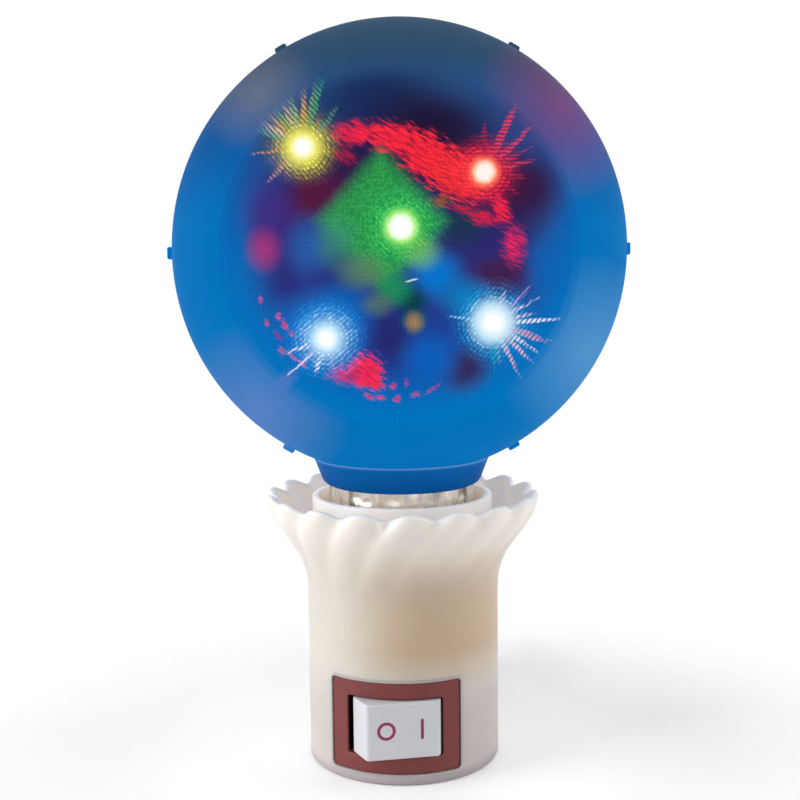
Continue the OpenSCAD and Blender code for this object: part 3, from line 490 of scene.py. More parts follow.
def neck_polystyrene(colours, sizes):
    """Thick tinted polystyrene of the neck: the same satin, glowing with the globe's light above it. Its glow is
    painted light: deep blue with painted shade at the foot, and a painted highlight along the bead."""
    made, tree, shader, coords = new_finish("Blue polystyrene, thick")
    level = add(tree, "SeparateXYZ", {"Vector": coords}).outputs["Z"]
    share = add(tree, "MapRange", {"Value": level, "From Min": CAP_TOP, "From Max": CAP_TOP + sizes.collar_height})
    # Painted light: darker at the foot, with a pale painted highlight line at the bead
    rise = add(tree, "ValToRGB", {"Fac": share}, stops=[
        (0.0, hex_colour("#034A94")), (0.4, colours.neck), (0.88, hex_colour("#0A64B4")), (0.94, hex_colour("#2C7CCC")),
        (0.98, hex_colour("#86ACE4"))])
    skin = clouded(tree, coords, 9 * MM, dimmed(colours.neck, 0.45), dimmed(colours.neck, 0.3))
    connect(tree, shader, {
        "Base Color": skin, "Roughness": 0.5, "IOR": 1.59, "Specular IOR Level": 0.02,
        "Emission Color": rise, "Emission Strength": 0.62,
        "Normal": grain_bump(tree, coords, 0.7 * MM, 0.03 * MM, 0.3)})
    return made


def nickel_plate(colours):
    """Bright nickel on drawn sheet: mirror-like, with upright drawing marks in its roughness, and bright and dull
    streaks along them painted into its colour as reflections.
    """
    made, tree, shader, coords = new_finish("Nickel plate, drawn sheet")
    drawn = add(tree, "Mapping", {"Vector": coords, "Scale": (1, 1, 0.25)})
    marks = add(tree, "TexNoise", {"Vector": drawn, "Scale": 1 / (2.4 * MM), "Detail": 4.0})
    rough = add(tree, "MapRange", {"Value": marks, "From Min": 0.3, "From Max": 0.7, "To Min": 0.38, "To Max": 0.1})
    # Painted reflections: bright and dull streaks in the metal's colour
    painted_reflection_streak = add(tree, "ValToRGB", {"Fac": marks}, stops=[
        (0.34, dimmed(colours.nickel, 0.22)), (0.43, dimmed(colours.nickel, 0.75)), (0.53, colours.nickel)])
    connect(tree, shader, {
        "Base Color": painted_reflection_streak, "Metallic": 1.0, "Roughness": rough,
        "Normal": grain_bump(tree, drawn, 1.1 * MM, 0.06 * MM, 0.4)})
    return made


def mains_pin_metal(colours, sizes):
    """Nickel-plated pin with a black polyamide sleeve over the half next to the plug."""
    made, tree, shader, coords = new_finish("Nickel plate with polyamide sleeve")
    reach = add(tree, "SeparateXYZ", {"Vector": coords}).outputs["Y"]
    bare = add(tree, "Math", {0: reach, 1: PLUG_FACE + sizes.pin_sleeve}, operation="GREATER_THAN")
    plate = clouded(tree, coords, 3 * MM, colours.nickel, dimmed(colours.nickel, 0.8))
    skin = add(tree, "Mix", {0: bare, 6: hex_colour("#151517"), 7: plate}, data_type="RGBA")
    rough = add(tree, "MapRange", {"Value": bare, "To Min": 0.5, "To Max": 0.2})
    connect(tree, shader, {
        "Base Color": skin, "Metallic": bare, "Roughness": rough,
        "Normal": grain_bump(tree, coords, 0.5 * MM, 0.02 * MM, 0.3)})
    return made


def pressed_brass(colours):
    """Pressed brass sheet: warm yellow metal with tarnish clouds and rolling grain."""
    return clouded_finish("Brass, pressed sheet", colours.brass, hex_colour("#A07C3C"), 3,
                          (0.5, 0.03), 0.3, {"Metallic": 1.0, "Roughness": 0.28})


def zinc_steel():
    """Zinc-plated steel: grey and slightly blue, duller than nickel."""
    return clouded_finish("Zinc-plated steel", hex_colour("#B9BBC0"), hex_colour("#8E9197"), 1.5,
                          (0.4, 0.03), 0.3, {"Metallic": 1.0, "Roughness": 0.33})


def solder_mask():
    """Glass-fibre board under green solder mask: copper tracks show as lighter bands."""
    made, tree, shader, coords = new_finish("Glass-fibre board, green mask")
    tracks = add(tree, "TexBrick", {
        "Vector": coords, "Scale": 1 / (8 * MM), "Color1": hex_colour("#1B5A33"), "Color2": hex_colour("#236B3C"),
        "Mortar": hex_colour("#0E3A20"), "Mortar Size": 0.03}, offset=0.35)
    connect(tree, shader, {
        "Base Color": tracks, "Roughness": 0.3,
        "Normal": grain_bump(tree, coords, 0.8 * MM, 0.03 * MM, 0.3)})
    return made


def embossed_foil():
    """Aluminium foil embossed in small cells: each cell mirrors another way, so it sparkles."""
    made, tree, shader, coords = new_finish("Aluminium foil, embossed")
    cells = add(tree, "TexVoronoi", {"Vector": coords, "Scale": 1 / (1.6 * MM)})
    bump = add(tree, "Bump", {"Strength": 0.6, "Distance": 0.15 * MM, "Height": cells})
    connect(tree, shader, {
        "Base Color": clouded(tree, coords, 6 * MM, hex_colour("#E6E8EC"), hex_colour("#C4C8D0")),
        "Metallic": 1.0, "Roughness": 0.16, "Normal": bump})
    return made


def lit_epoxy(name, glow, rim):
    """Clear epoxy LED while it is lit: white-hot dome that keeps its colour at the flange."""
    made, tree, shader, coords = new_finish(f"{name} epoxy, lit")
    depth = add(tree, "SeparateXYZ", {"Vector": coords}).outputs["Y"]
    share = add(tree, "MapRange", {"Value": depth, "From Min": -10.6 * MM, "From Max": -2 * MM})
    heat = add(tree, "ValToRGB", {"Fac": share}, stops=[
        (0.0, hex_colour("#FFFFFF")), (0.45, hex_colour(glow)), (1.0, hex_colour(rim))])
    connect(tree, shader, {
        "Base Color": heat, "Roughness": 0.15, "Emission Color": heat,
        "Emission Strength": 1.5})
    return made


def coloured_sleeve(name, colour, gloss):
    """PVC or lacquer in one hue with a slightly darker drift, as on wires and dipped parts."""
    tone = hex_colour(colour)
    return clouded_finish(name, tone, dimmed(tone, 0.75), 2, (0.3, 0.02), 0.3, {"Roughness": gloss})


# Star film in millimetres from the globe's centre. Hazes, veils and streaks are soft ellipses: across, up, half width,
# half height, turn in degrees, softness, colour and strength. Streaks have frayed edges and a fibrous grain.
HAZES = [
    (-3.5, 25, 15, 8, 0, 0.9, "#18204C", 0.9),
    (5.5, 20.5, 14, 7.5, -8, 0.9, "#200420", 0.95),
    (21.5, 10, 9, 9.5, 0, 0.9, "#340830", 0.95),
    (22.5, 22, 9, 8, 0, 0.9, "#483A78", 0.65),
    (-17, 18.5, 9.5, 8, 0, 0.9, "#42521E", 0.75),
    (14, 12, 9.5, 8.5, 0, 0.9, "#5C0418", 0.9),
    (-14.5, 9, 9, 5.5, 25, 0.9, "#540C2C", 0.95),
    (-21.5, 5.5, 6.5, 10.5, 0, 0.9, "#40247C", 0.85),
    (-15.5, -5.5, 9.5, 7, 0, 0.9, "#2A2474", 0.9),
    (-2, -14.5, 6.5, 9, 0, 0.9, "#261C62", 0.9),
    (10.6, -20, 6.5, 5.5, 30, 0.9, "#35143C", 0.9),
    (16.5, -4.2, 7.5, 5, 0, 0.9, "#441030", 0.85),
    (5.8, -4.2, 6.5, 6, 0, 0.9, "#0472C8", 0.95),
    (-9, -8.5, 7, 5, -25, 0.9, "#0A4EA0", 0.8),
    (10.5, -8, 6, 5, 0, 0.9, "#0878B8", 0.8),
    (1.8, -8.8, 4, 4.5, 0, 0.9, "#083A34", 0.9),
    (4.8, -18.5, 7, 6.5, 0, 0.9, "#0A5CB8", 0.9),
    (-13.3, -12, 10.5, 8, 0, 0.9, "#1272C6", 0.9),
    (10, 4, 6, 5, 0, 0.9, "#14343C", 0.7),
    (24.5, -3, 5, 7, 0, 0.9, "#0A60B4", 0.7),
    (-21.5, -23.5, 6.5, 2.2, 43, 1.0, "#7A7CC8", 0.6),
    (-22.8, 0.3, 4.0, 5.0, 0, 1.0, "#B03070", 0.75),
]
# Veils lie over the green patch
VEILS = [
    (-15.5, 0.5, 5.5, 7.5, 0, 0.9, "#2858A4", 0.85),
    (-11, 1.5, 5, 6.5, 0, 0.9, "#3C8C74", 0.6),
    (-6.5, -3.5, 6, 4.5, 0, 0.9, "#588258", 0.75),
    (-1, -6.5, 4, 4, 0, 0.9, "#1A9440", 0.75),
    (-4, -9, 4, 3, 0, 0.9, "#5C7850", 0.6),
    (3.4, -0.5, 4.5, 4, 0, 0.9, "#74BC48", 0.6),
    (2.2, -12.1, 2.9, 2.9, 0, 1.0, "#0C6446", 0.9),
    (2.1, -12.1, 2.2, 2.4, 0, 1.0, "#B88050", 0.72),
    (1.7, -5.1, 1.5, 0.22, 14, 0.7, "#C8F0D8", 0.85),
]
STREAKS = [
    (-7.2, 19.2, 5.2, 2.4, 2, 0.7, "#F82044", 0.95),
    (-1.2, 18.4, 5.8, 3.0, -10, 0.6, "#FF2438", 1.0),
    (4.4, 15.4, 6.6, 4.2, -35, 0.5, "#FF2430", 1.0),
    (9.4, 12.4, 6.4, 4.8, -28, 0.5, "#FF2C2C", 1.0),
    (-9.2, 15.6, 3.0, 1.8, -30, 0.9, "#A41438", 0.85),
    (7.0, 8.0, 2.8, 1.4, 0, 0.9, "#A0582C", 0.85),
    (10.6, 6.6, 3.6, 1.2, -16, 0.9, "#C41C40", 0.85),
    (14.2, 5.0, 3.8, 1.5, -8, 0.8, "#DC1C40", 0.9),
    (16.8, 6.6, 1.8, 3.4, 20, 0.7, "#F42040", 0.95),
    (18.9, 0.6, 2.6, 4.6, 0, 1.0, "#F0245C", 0.95),
    (-6.2, -20.3, 3.4, 3.4, -40, 0.5, "#FF2850", 1.0),
    (-9.0, -20.8, 4.4, 2.3, -6, 0.9, "#E02C68", 0.9),
    (-4.9, -22.1, 2.4, 1.5, -35, 0.6, "#FA2850", 0.95),
    (-5.6, -24.6, 1.2, 0.6, -25, 0.9, "#E84478", 0.9),
    (-3.6, -24.7, 1.1, 0.6, -20, 0.9, "#E84478", 0.9),
]
GREEN_DIAMOND = (-3.2, 4.8, 11.4, 12.4)
# Magenta sparks: across, up, half width, half height, turn in degrees and colour
SPARKS = [
    (-23.6, -8.1, 0.5, 0.9, 0, "#C84C94"), (-22.7, -11.9, 0.5, 0.8, 15, "#C84C94"),
    (-20.6, -10.9, 0.6, 0.7, 15, "#F4509C"), (-19.6, -12.3, 0.7, 1.1, 30, "#F04884"),
    (-18.4, -13.8, 0.5, 1.1, 45, "#B04C90"), (-20.8, -14.1, 0.6, 1.3, 40, "#8C3C94"),
    (-20.2, -16.7, 0.8, 1.0, 30, "#C46C9C"), (-18.5, -17.5, 0.4, 1.4, 45, "#B85890"),
    (-16.8, -18.9, 0.5, 1.2, 45, "#D86894"), (-1.6, -22.8, 0.7, 0.7, 0, "#E43C7C"),
    (-0.9, -25.0, 0.8, 0.8, 0, "#E43C84"), (0.7, -22.3, 0.5, 1.2, 0, "#A048A0"),
    (2.2, -24.3, 0.9, 0.6, 15, "#D0509C"), (5.2, -23.3, 2.0, 0.4, 35, "#A8489C"),
]
# Bursts round the LEDs: across, up, reach, direction of the hatching in degrees, halo as radius and colour from the
# outside in, and rays as bearing in degrees, length, half width in degrees and colour
BURSTS = [
    (-16.0, 17.0, 18.5, 42,
     [(7.0, "#000000"), (5.8, "#46381A"), (4.6, "#A08C1E"), (3.4, "#E6DA30"), (2.2, "#F2EA58"), (1.35, "#FFFFD0"),
      (0.8, "#FFFFFF")],
     [(46, 9.5, 16, "#5C9C7C"), (75, 18.0, 13, "#4CB060"), (88, 12.5, 13, "#F0B030"), (104, 16.5, 13, "#84C088"),
      (114, 14.0, 12, "#E8C490"), (126, 17.0, 13, "#6CBC58"), (136, 15.0, 12, "#E0A860"), (148, 17.5, 12, "#F0CCB4"),
      (158, 12.5, 11, "#68A888"), (186, 8.8, 14, "#F0A448"), (222, 8.0, 18, "#D8A080")]),
    (14.0, 12.7, 14.0, 90,
     [(6.6, "#000000"), (5.0, "#7C0818"), (4.0, "#E81828"), (2.9, "#FA3430"), (2.1, "#FF7850"), (1.55, "#FFD4B8"),
      (1.0, "#FFF6EC")],
     [(-62, 6.8, 18, "#D82848"), (-34, 6.8, 18, "#B81C3C"), (-8, 8.4, 18, "#B01C40"), (13, 9.8, 13, "#F03C50"),
      (26, 9.0, 13, "#D02C4C"), (42, 11.6, 13, "#F03850"), (64, 13.0, 15, "#F43448"), (90, 8.4, 18, "#B01C38")]),
    (0.05, 3.8, 9.0, 45,
     [(8.6, "#000000"), (6.8, "#064A18"), (4.8, "#0C8C30"), (3.4, "#44BC40"), (2.4, "#A8EC70"), (1.8, "#F0FFE0"),
      (1.2, "#FFFFFF")],
     [(-38, 6.2, 16, "#8CCC50"), (25, 4.4, 16, "#78D858"), (85, 4.2, 16, "#60D050"), (140, 4.2, 16, "#58CC4C"),
      (205, 4.6, 16, "#78D860"), (262, 5.0, 16, "#60D058")]),
    (-12.7, -14.7, 9.5, 130,
     [(7.4, "#000000"), (5.8, "#185AA0"), (4.6, "#5C9EDA"), (3.4, "#98C8F0"), (2.0, "#C4E4FC"), (1.3, "#F0FAFF"),
      (0.8, "#FFFFFF")],
     [(15, 5.2, 20, "#C8DCF8"), (48, 5.2, 18, "#A8CCF4"), (78, 5.4, 16, "#F4FAFF"), (112, 4.6, 18, "#B8DCFA"),
      (160, 5.4, 18, "#D0E4F8"), (200, 7.6, 15, "#F4F0FF"), (223, 8.6, 14, "#E8D8F4"), (252, 7.0, 16, "#F4F4FF"),
      (285, 5.2, 20, "#E0F0FF"), (318, 4.6, 18, "#C0E0FF")]),
    (15.4, -12.3, 12.5, 140,
     [(8.0, "#000000"), (6.2, "#065078"), (5.0, "#2498CC"), (4.0, "#98D0EA"), (3.0, "#B8DEF0"), (1.8, "#ECF8FF"),
      (1.1, "#FFFFFF")],
     [(2, 11.4, 10, "#F0F4FF"), (12, 8.4, 10, "#F4D0D8"), (28, 8.2, 13, "#D8DCF8"), (42, 9.6, 12, "#B090DC"),
      (68, 6.4, 16, "#F0F4FF"), (171, 8.4, 9, "#90DCF8"), (-20, 10.6, 15, "#F490A4"), (-34, 9.4, 13, "#F0E8F0"),
      (-46, 10.4, 13, "#F8C4CC"), (-64, 10.4, 12, "#F0B8C8"), (-86, 9.2, 24, "#12A4B4")]),
]
# Distances from an LED between which its rays sink into its halo
RAY_FADE = (4.6, 2.6)


def ray_stops(rays, reach):
    """Stops of two ramps over the bearing. The first rises to each ray's share of the reach at its own bearing and
    falls to nothing at its half width, or part of the way where it meets the next ray. The second holds the rays'
    colours."""
    black = hex_colour("#000000")
    spikes = sorted(((bearing / 360 + 0.5) % 1, far / reach, half / 360, colour) for bearing, far, half, colour in rays)
    star = [(max(spikes[0][0] - spikes[0][2], 0.0), black)]
    for (at, share, half, _), (other_at, other_share, other_half, _) in zip(spikes, spikes[1:]):
        star.append((at, (share, share, share, 1.0)))
        apart = (other_at - at) / (half + other_half)
        if apart < 1:
            valley = (share + other_share) / 2 * (1 - apart)
            star.append((at + apart * half, (valley, valley, valley, 1.0)))
        else:
            star += [(at + half, black), (other_at - other_half, black)]
    at, share, half, _ = spikes[-1]
    star += [(at, (share, share, share, 1.0)), (min(at + half, 1.0), black)]
    return star, [(at, hex_colour(colour)) for at, _, _, colour in spikes]


def star_film_lit(sizes):
    """Embossed polyester film lit from behind: every LED is drawn out into a white core, a crystalline halo and
    hatched rays, over dark indigo with red and green caustics. Emission, because the light comes through it. The
    real embossing is a tenth of a millimetre fine, and its cells and lines are drawn at about half a millimetre."""
    made, tree, shader, coords = new_finish("Embossed polyester film, lit from behind")
    flat = lamp_front(tree, coords, sizes)
    noise = add(tree, "TexNoise", {"Vector": flat, "Scale": 0.9, "Detail": 3.0})
    swing = add(tree, "VectorMath", {0: noise.outputs["Color"], 1: (0.5, 0.5, 0.5)}, operation="SUBTRACT")
    plane = add(tree, "VectorMath", {0: swing, 1: (0.6, 0.6, 0), 2: flat}, operation="MULTIPLY_ADD")
    facet = add(tree, "TexVoronoi", {"Vector": flat, "Scale": 1.8})
    crystals = add(tree, "MapRange", {"Value": facet, "From Max": 0.75, "To Min": 1.3, "To Max": 0.45})
    combed = add(tree, "Mapping", {
        "Vector": plane, "Rotation": (0, 0, math.radians(-30)), "Scale": (2.0, 0.35, 1)}, vector_type="TEXTURE")
    strand = add(tree, "TexNoise", {"Vector": combed, "Scale": 1.0, "Detail": 3.0})
    fibres = add(tree, "MapRange", {"Value": strand, "From Min": 0.34, "From Max": 0.6})
    fray = add(tree, "MapRange", {"Value": strand, "From Min": 0.3, "From Max": 0.7, "To Min": -0.25, "To Max": 0.2})

    up = add(tree, "SeparateXYZ", {"Vector": flat}).outputs["Y"]
    level = add(tree, "MapRange", {"Value": up, "From Min": -34.0, "From Max": 34.0})
    middle = add(tree, "ValToRGB", {"Fac": level}, stops=[
        (0.1, hex_colour("#0A50A4")), (0.3, hex_colour("#1C3C90")), (0.5, hex_colour("#2A2468")),
        (0.7, hex_colour("#280C3C")), (0.9, hex_colour("#182048"))])
    border = add(tree, "ValToRGB", {"Fac": level}, stops=[
        (0.0, hex_colour("#0072BC")), (0.3, hex_colour("#046EB8")), (0.5, hex_colour("#0866B4")),
        (0.65, hex_colour("#1454A0")), (0.8, hex_colour("#24407C")), (1.0, hex_colour("#2C4A66"))])
    away = add(tree, "VectorMath", {0: plane}, operation="LENGTH")
    outer = add(tree, "MapRange", {"Value": away, "From Min": 19.0, "From Max": 29.0},
                interpolation_type="SMOOTHSTEP")
    base = add(tree, "Mix", {0: outer, 6: middle, 7: border}, data_type="RGBA")

    def ellipse(base, x, y, wide, high, angle, soft, colour, strength, fibrous):
        """Mixes one soft ellipse over the picture so far. A fibrous one is a third larger, to fray inwards."""
        grown = 1.33 if fibrous else 1.0
        _, ball = ball_on(tree, plane, x, y, wide * grown, high * grown, angle)
        tone, low = hex_colour(colour), 0.0
        if fibrous:
            ball = add(tree, "Math", {0: ball, 1: fray}, operation="ADD")
            tone = add(tree, "Mix", {0: fibres, 6: dimmed(tone, 0.5), 7: tone}, data_type="RGBA")
            low = 0.2
        mask = add(tree, "MapRange", {
            "Value": ball, "From Min": low, "From Max": low + (1 - low) * soft, "To Max": strength},
            interpolation_type="SMOOTHSTEP")
        return add(tree, "Mix", {0: mask, 6: base, 7: tone}, data_type="RGBA")

    for row in HAZES:
        base = ellipse(base, *row, False)
    x, y, wide, high = GREEN_DIAMOND
    local = add(tree, "Mapping", {"Vector": plane, "Location": (x, y, 0), "Scale": (wide, high, 1)},
                vector_type="TEXTURE")
    folded = add(tree, "VectorMath", {0: local}, operation="ABSOLUTE")
    spread = add(tree, "VectorMath", {0: folded, 1: (1, 1, 0)}, operation="DOT_PRODUCT")
    mask = add(tree, "MapRange", {
        "Value": spread, "From Min": 1.16, "From Max": 0.7, "To Max": 0.95},
        interpolation_type="SMOOTHSTEP")
    leaf = add(tree, "Mix", {0: crystals, 6: hex_colour("#127430"), 7: hex_colour("#34A044")}, data_type="RGBA")
    base = add(tree, "Mix", {0: mask, 6: base, 7: leaf}, data_type="RGBA")
    for row in VEILS:
        base = ellipse(base, *row, False)
    for row in STREAKS:
        base = ellipse(base, *row, True)
    for *row, colour in SPARKS:
        base = ellipse(base, *row, 0.8, colour, 0.9, True)
    weft, warp = (add(tree, "TexWave", {"Vector": plane, "Scale": 0.5, "Distortion": 4.0, "Detail": 3.0},
                      wave_type="BANDS", bands_direction=way).outputs["Fac"] for way in "XY")
    crossed = add(tree, "Math", {0: weft, 1: warp}, operation="ADD")
    mesh = add(tree, "MapRange", {"Value": crossed, "From Max": 2.0, "To Min": 0.9, "To Max": 1.14})
    base = add(tree, "Mix", {0: 1.0, 6: base, 7: mesh}, data_type="RGBA", blend_type="MULTIPLY")

    for x, y, reach, across, halo, rays in BURSTS:
        local, ball = ball_on(tree, plane, x, y, reach, reach)
        fan = add(tree, "TexGradient", {"Vector": local}, gradient_type="RADIAL").outputs["Fac"]
        turned_to = add(tree, "Mapping", {"Vector": plane, "Rotation": (0, 0, math.radians(across))},
                        vector_type="TEXTURE")
        hatch = add(tree, "TexWave", {"Vector": turned_to, "Scale": 0.5, "Distortion": 1.0,
                                      "Detail": 1.0}, wave_type="BANDS", bands_direction="X").outputs["Fac"]
        rings = add(tree, "TexWave", {"Vector": local, "Scale": 0.4 * reach, "Distortion": 0.6},
                    wave_type="RINGS", rings_direction="SPHERICAL")
        ringed = add(tree, "MapRange", {"Value": rings.outputs["Fac"], "To Min": 0.55, "To Max": 1.2})
        woven = add(tree, "MapRange", {"Value": hatch, "To Min": 0.45, "To Max": 1.2})
        broken = add(tree, "Math", {0: ringed, 1: woven}, operation="MULTIPLY")
        broken = add(tree, "Math", {0: broken, 1: crystals}, operation="MULTIPLY")
        glow = add(tree, "ValToRGB", {"Fac": ball}, stops=[(1 - far / reach, hex_colour(tone)) for far, tone in halo])
        heart = add(tree, "MapRange", {
            "Value": ball, "From Min": 1 - halo[2][0] / reach, "From Max": 1 - halo[4][0] / reach})
        whole = add(tree, "Math", {0: heart, 1: broken}, operation="MAXIMUM")
        sparkle = add(tree, "Mix", {0: 1.0, 6: glow, 7: whole},
                      data_type="RGBA", blend_type="MULTIPLY", clamp_result=True)
        base = add(tree, "Mix", {0: 1.0, 6: base, 7: sparkle}, data_type="RGBA", blend_type="SCREEN")
        star, paint = ray_stops(rays, reach)
        spikes = add(tree, "ValToRGB", {"Fac": fan}, stops=star)
        spikes.color_ramp.interpolation = "EASE"
        colour = add(tree, "ValToRGB", {"Fac": fan}, stops=paint)
        polar = add(tree, "CombineXYZ", {"X": fan, "Y": ball})
        strokes = add(tree, "VectorMath", {0: polar, 1: (70, 0.3 * reach, 0)}, operation="MULTIPLY")
        stroke = add(tree, "TexNoise", {"Vector": strokes, "Scale": 1.0, "Detail": 2.0})
        uneven = add(tree, "MapRange", {"Value": stroke, "From Min": 0.3, "From Max": 0.7,
                                        "To Min": 0.7, "To Max": 1.2})
        spread = add(tree, "Math", {0: spikes, 1: uneven}, operation="MULTIPLY")
        inside = add(tree, "Math", {0: spread, 1: ball}, operation="ADD")
        edge = add(tree, "MapRange", {"Value": inside, "From Min": 1.0, "From Max": 1.2})
        lines = add(tree, "MapRange", {"Value": hatch, "From Min": 0.2, "From Max": 0.75,
                                       "To Min": 0.1, "To Max": 0.9})
        drawn = add(tree, "Math", {0: edge, 1: lines}, operation="MULTIPLY")
        outside = add(tree, "MapRange", {
            "Value": ball, "From Min": 1 - RAY_FADE[0] / reach, "From Max": 1 - RAY_FADE[1] / reach, "To Min": 1.0,
            "To Max": 0.0})
        drawn = add(tree, "Math", {0: drawn, 1: outside}, operation="MULTIPLY")
        base = add(tree, "Mix", {0: drawn, 6: base, 7: colour}, data_type="RGBA")
    connect(tree, shader, {
        "Base Color": hex_colour("#05060C"), "Roughness": 0.6, "Specular IOR Level": 0.0,
        "Emission Color": base, "Emission Strength": 1.28})
    return made


def photo_floor():
    """Matt paper under the lamp: pale, lifted to white where the camera sees it, and fading into the white
    background before its edge."""
    made, tree, shader, coords = new_finish("White paper, matt")
    reach = add(tree, "VectorMath", {0: coords}, operation="LENGTH")
    fade = add(tree, "MapRange", {
        "Value": reach, "From Min": 35 * MM, "From Max": 105 * MM, "To Min": 1.0, "To Max": 0.0},
        interpolation_type="SMOOTHSTEP")
    seen = add(tree, "LightPath").outputs["Is Camera Ray"]
    lift = add(tree, "MapRange", {"Value": seen, "To Max": 0.22})
    connect(tree, shader, {
        "Base Color": clouded(tree, coords, 30 * MM, hex_colour("#F6F6F6"), hex_colour("#F3F3F3")),
        "Roughness": 0.8, "Emission Color": hex_colour("#FFFFFF"), "Emission Strength": lift,
        "Alpha": fade})
    return made


# Shapes


def petal_sleeve_rings(s):
    """Sleeve with its petal skirt as one closed section carried round Z. The flank of the skirt is a cubic Bezier
    curve of t, from the foot to the rim. At a bearing b the wave is 1 - 2 |sin(petals (b - start + swirl (1 - t)) / 2)|
    cubed: it swells the flank by t to the power 1.4 and lifts it by t cubed, so broad lobes part at narrow creases
    that swirl round as they rise. The inside is the flank moved back along its normal by the wall. One small moulding
    nub stands on the rim."""
    columns = s.petals * 28
    bearing = bearings(columns)[None]
    curve = np.array([
        (s.sleeve_radius, s.flare_foot), (s.sleeve_radius, s.flare_foot + s.flare_straight),
        (s.sleeve_radius + s.flare_turn_reach, s.flare_foot + s.flare_turn_height), (s.rim_radius, s.rim_height)])
    nub_bearing, nub_size, nub_width = math.radians(-92.2), 0.55 * MM, 0.55 * MM

    def flank(t, depth, beyond):
        t, depth, beyond = (np.asarray(v, float)[:, None] for v in (t, depth, beyond))
        weight = np.stack([(1 - t) ** 3, 3 * t * (1 - t) ** 2, 3 * t * t * (1 - t), t ** 3])
        middle = np.tensordot(weight, curve, (0, 0))
        legs = np.diff(curve, axis=0)
        slope = np.tensordot(np.stack([(1 - t) ** 2, 2 * t * (1 - t), t * t]), legs, (0, 0))
        slope = slope / np.linalg.norm(slope, axis=-1, keepdims=True)
        wave = 1 - 2 * np.abs(np.sin(s.petals * (bearing - s.petal_start + s.petal_swirl * (1 - t)) / 2)) ** 3
        off = np.angle(np.exp(1j * (bearing - nub_bearing))) * s.rim_radius / nub_width
        nub = nub_size * np.exp(-off ** 2 - ((1 - t) * 12) ** 2) * (depth < 0.4)
        wall = s.sleeve_wall + (s.petal_wall - s.sleeve_wall) * t
        swell, rise = s.petal_swell * wave * t ** 1.4, s.petal_rise * wave * t ** 3
        radius = middle[..., 0] + swell - depth * wall * slope[..., 1] + beyond * slope[..., 0]
        height = middle[..., 1] + rise + depth * wall * slope[..., 0] + beyond * slope[..., 1]
        return radius + nub, height

    plain = np.ones((1, columns))
    foot = arc((s.sleeve_radius - s.sleeve_round, s.sleeve_round), s.sleeve_round, -90, 0, 8)
    up = np.linspace(s.sleeve_round, s.flare_foot, 18)[1:-1]
    over = np.linspace(0, math.pi, 11)[1:-1]
    outside = flank(np.linspace(0, 1, 44), np.zeros(44), np.zeros(44))
    crown = flank(np.ones(9), (1 - np.cos(over)) / 2, 0.4 * s.petal_wall * np.sin(over))
    inside = flank(np.linspace(1, 0, 34), np.ones(34), np.zeros(34))
    down = np.linspace(s.flare_foot, 0, 14)[1:]
    inner = s.sleeve_radius - s.sleeve_wall
    radius = np.concatenate([
        foot[:, :1] * plain, np.full((len(up), 1), s.sleeve_radius) * plain, outside[0], crown[0], inside[0],
        np.full((len(down), 1), inner) * plain])
    height = np.concatenate([
        foot[:, 1:] * plain, up[:, None] * plain, outside[1], crown[1], inside[1], down[:, None] * plain])
    return turned(radius, height, columns)


def prism(loop, start, end):
    """Loop drawn in X and Z carried along Y."""
    across = np.stack([np.column_stack([loop[:, 0], np.full(len(loop), y), loop[:, 1]]) for y in (start, end)])
    return skinned(across)


# Switch: corner of the surround, and the rocker's pivot in Y and its face's distance from that pivot
PANEL_ROUND = 0.8 * MM
ROCKER_PIVOT_Y = -12 * MM
ROCKER_FACE = 6.3 * MM


def surround_rings(s, centre_z):
    """Curved frame as a closed profile carried round the rocker opening. A profile step is a share of the way from
    the outer loop to the opening, a draw-in and a depth; the point then lies on a cylinder that much smaller."""
    play = 0.04 * MM
    outer = rounded_loop(s.panel_width - play, s.panel_height - play, PANEL_ROUND)
    inner = rounded_loop(s.opening_width, s.opening_height, PANEL_ROUND / 2)
    face = s.sleeve_radius - s.panel_sink
    lip, thick = 1.0, 1.5
    steps = [(0, 0, 0.95), (0, 0, 0.3), (0, 0.09, 0.09), (0, 0.3, 0)]
    steps += [(share, 0, 0) for share in np.linspace(0.12, 0.88, 6)]
    steps += [(1, -0.3, 0), (1, -0.09, 0.09), (1, 0, 0.3), (1, 0, thick), (0.5, 0, thick),
              (0, -lip, thick), (0, -lip, 0.95)]
    rings = []
    for share, inset, depth in steps:
        loop = drawn_in(outer, inset * MM) * (1 - share) + drawn_in(inner, inset * MM) * share
        up = np.maximum(loop[:, 1], -s.panel_height / 2 + 0.1 * MM)
        away = -np.sqrt((face - depth * MM) ** 2 - loop[:, 0] ** 2)
        rings.append(np.column_stack([loop[:, 0], away, up + centre_z]))
    return np.stack(rings)


def swung(points, tilt, pivot):
    """Points drawn about the rocker's pivot, turned about Z by the tilt and moved to it."""
    c, n = math.cos(tilt), math.sin(tilt)
    return points @ np.array([[c, n, 0], [-n, c, 0], [0, 0, 1]]) + pivot


def rocker_rings(s):
    """Rocker section drawn in X and Y, carried along Z and drawn in at both ends along a quarter round."""
    face = ROCKER_FACE / MM
    corners = MM * np.array([
        (-8.0, -1.2), (-6.4, -face), (6.4, -face), (8.0, -1.2), (7.3, -0.3), (2.6, 1.9), (-2.6, 1.9), (-7.3, -0.3)])
    loop = softened(corners, MM * np.array([0.4, 0.7, 0.7, 0.4, 0.3, 0.5, 0.5, 0.3]))
    edge = 0.3 * MM
    angle = np.radians(np.linspace(0, 90, 7))
    inset = edge * (1 - np.sin(angle))
    reach = s.rocker_height / 2 - edge + edge * np.cos(angle)
    rows = [np.column_stack([drawn_in(loop, i), np.full(len(loop), z)])
            for i, z in [*zip(inset, -reach), *zip(inset[::-1], reach[::-1])]]
    return np.stack(rows)


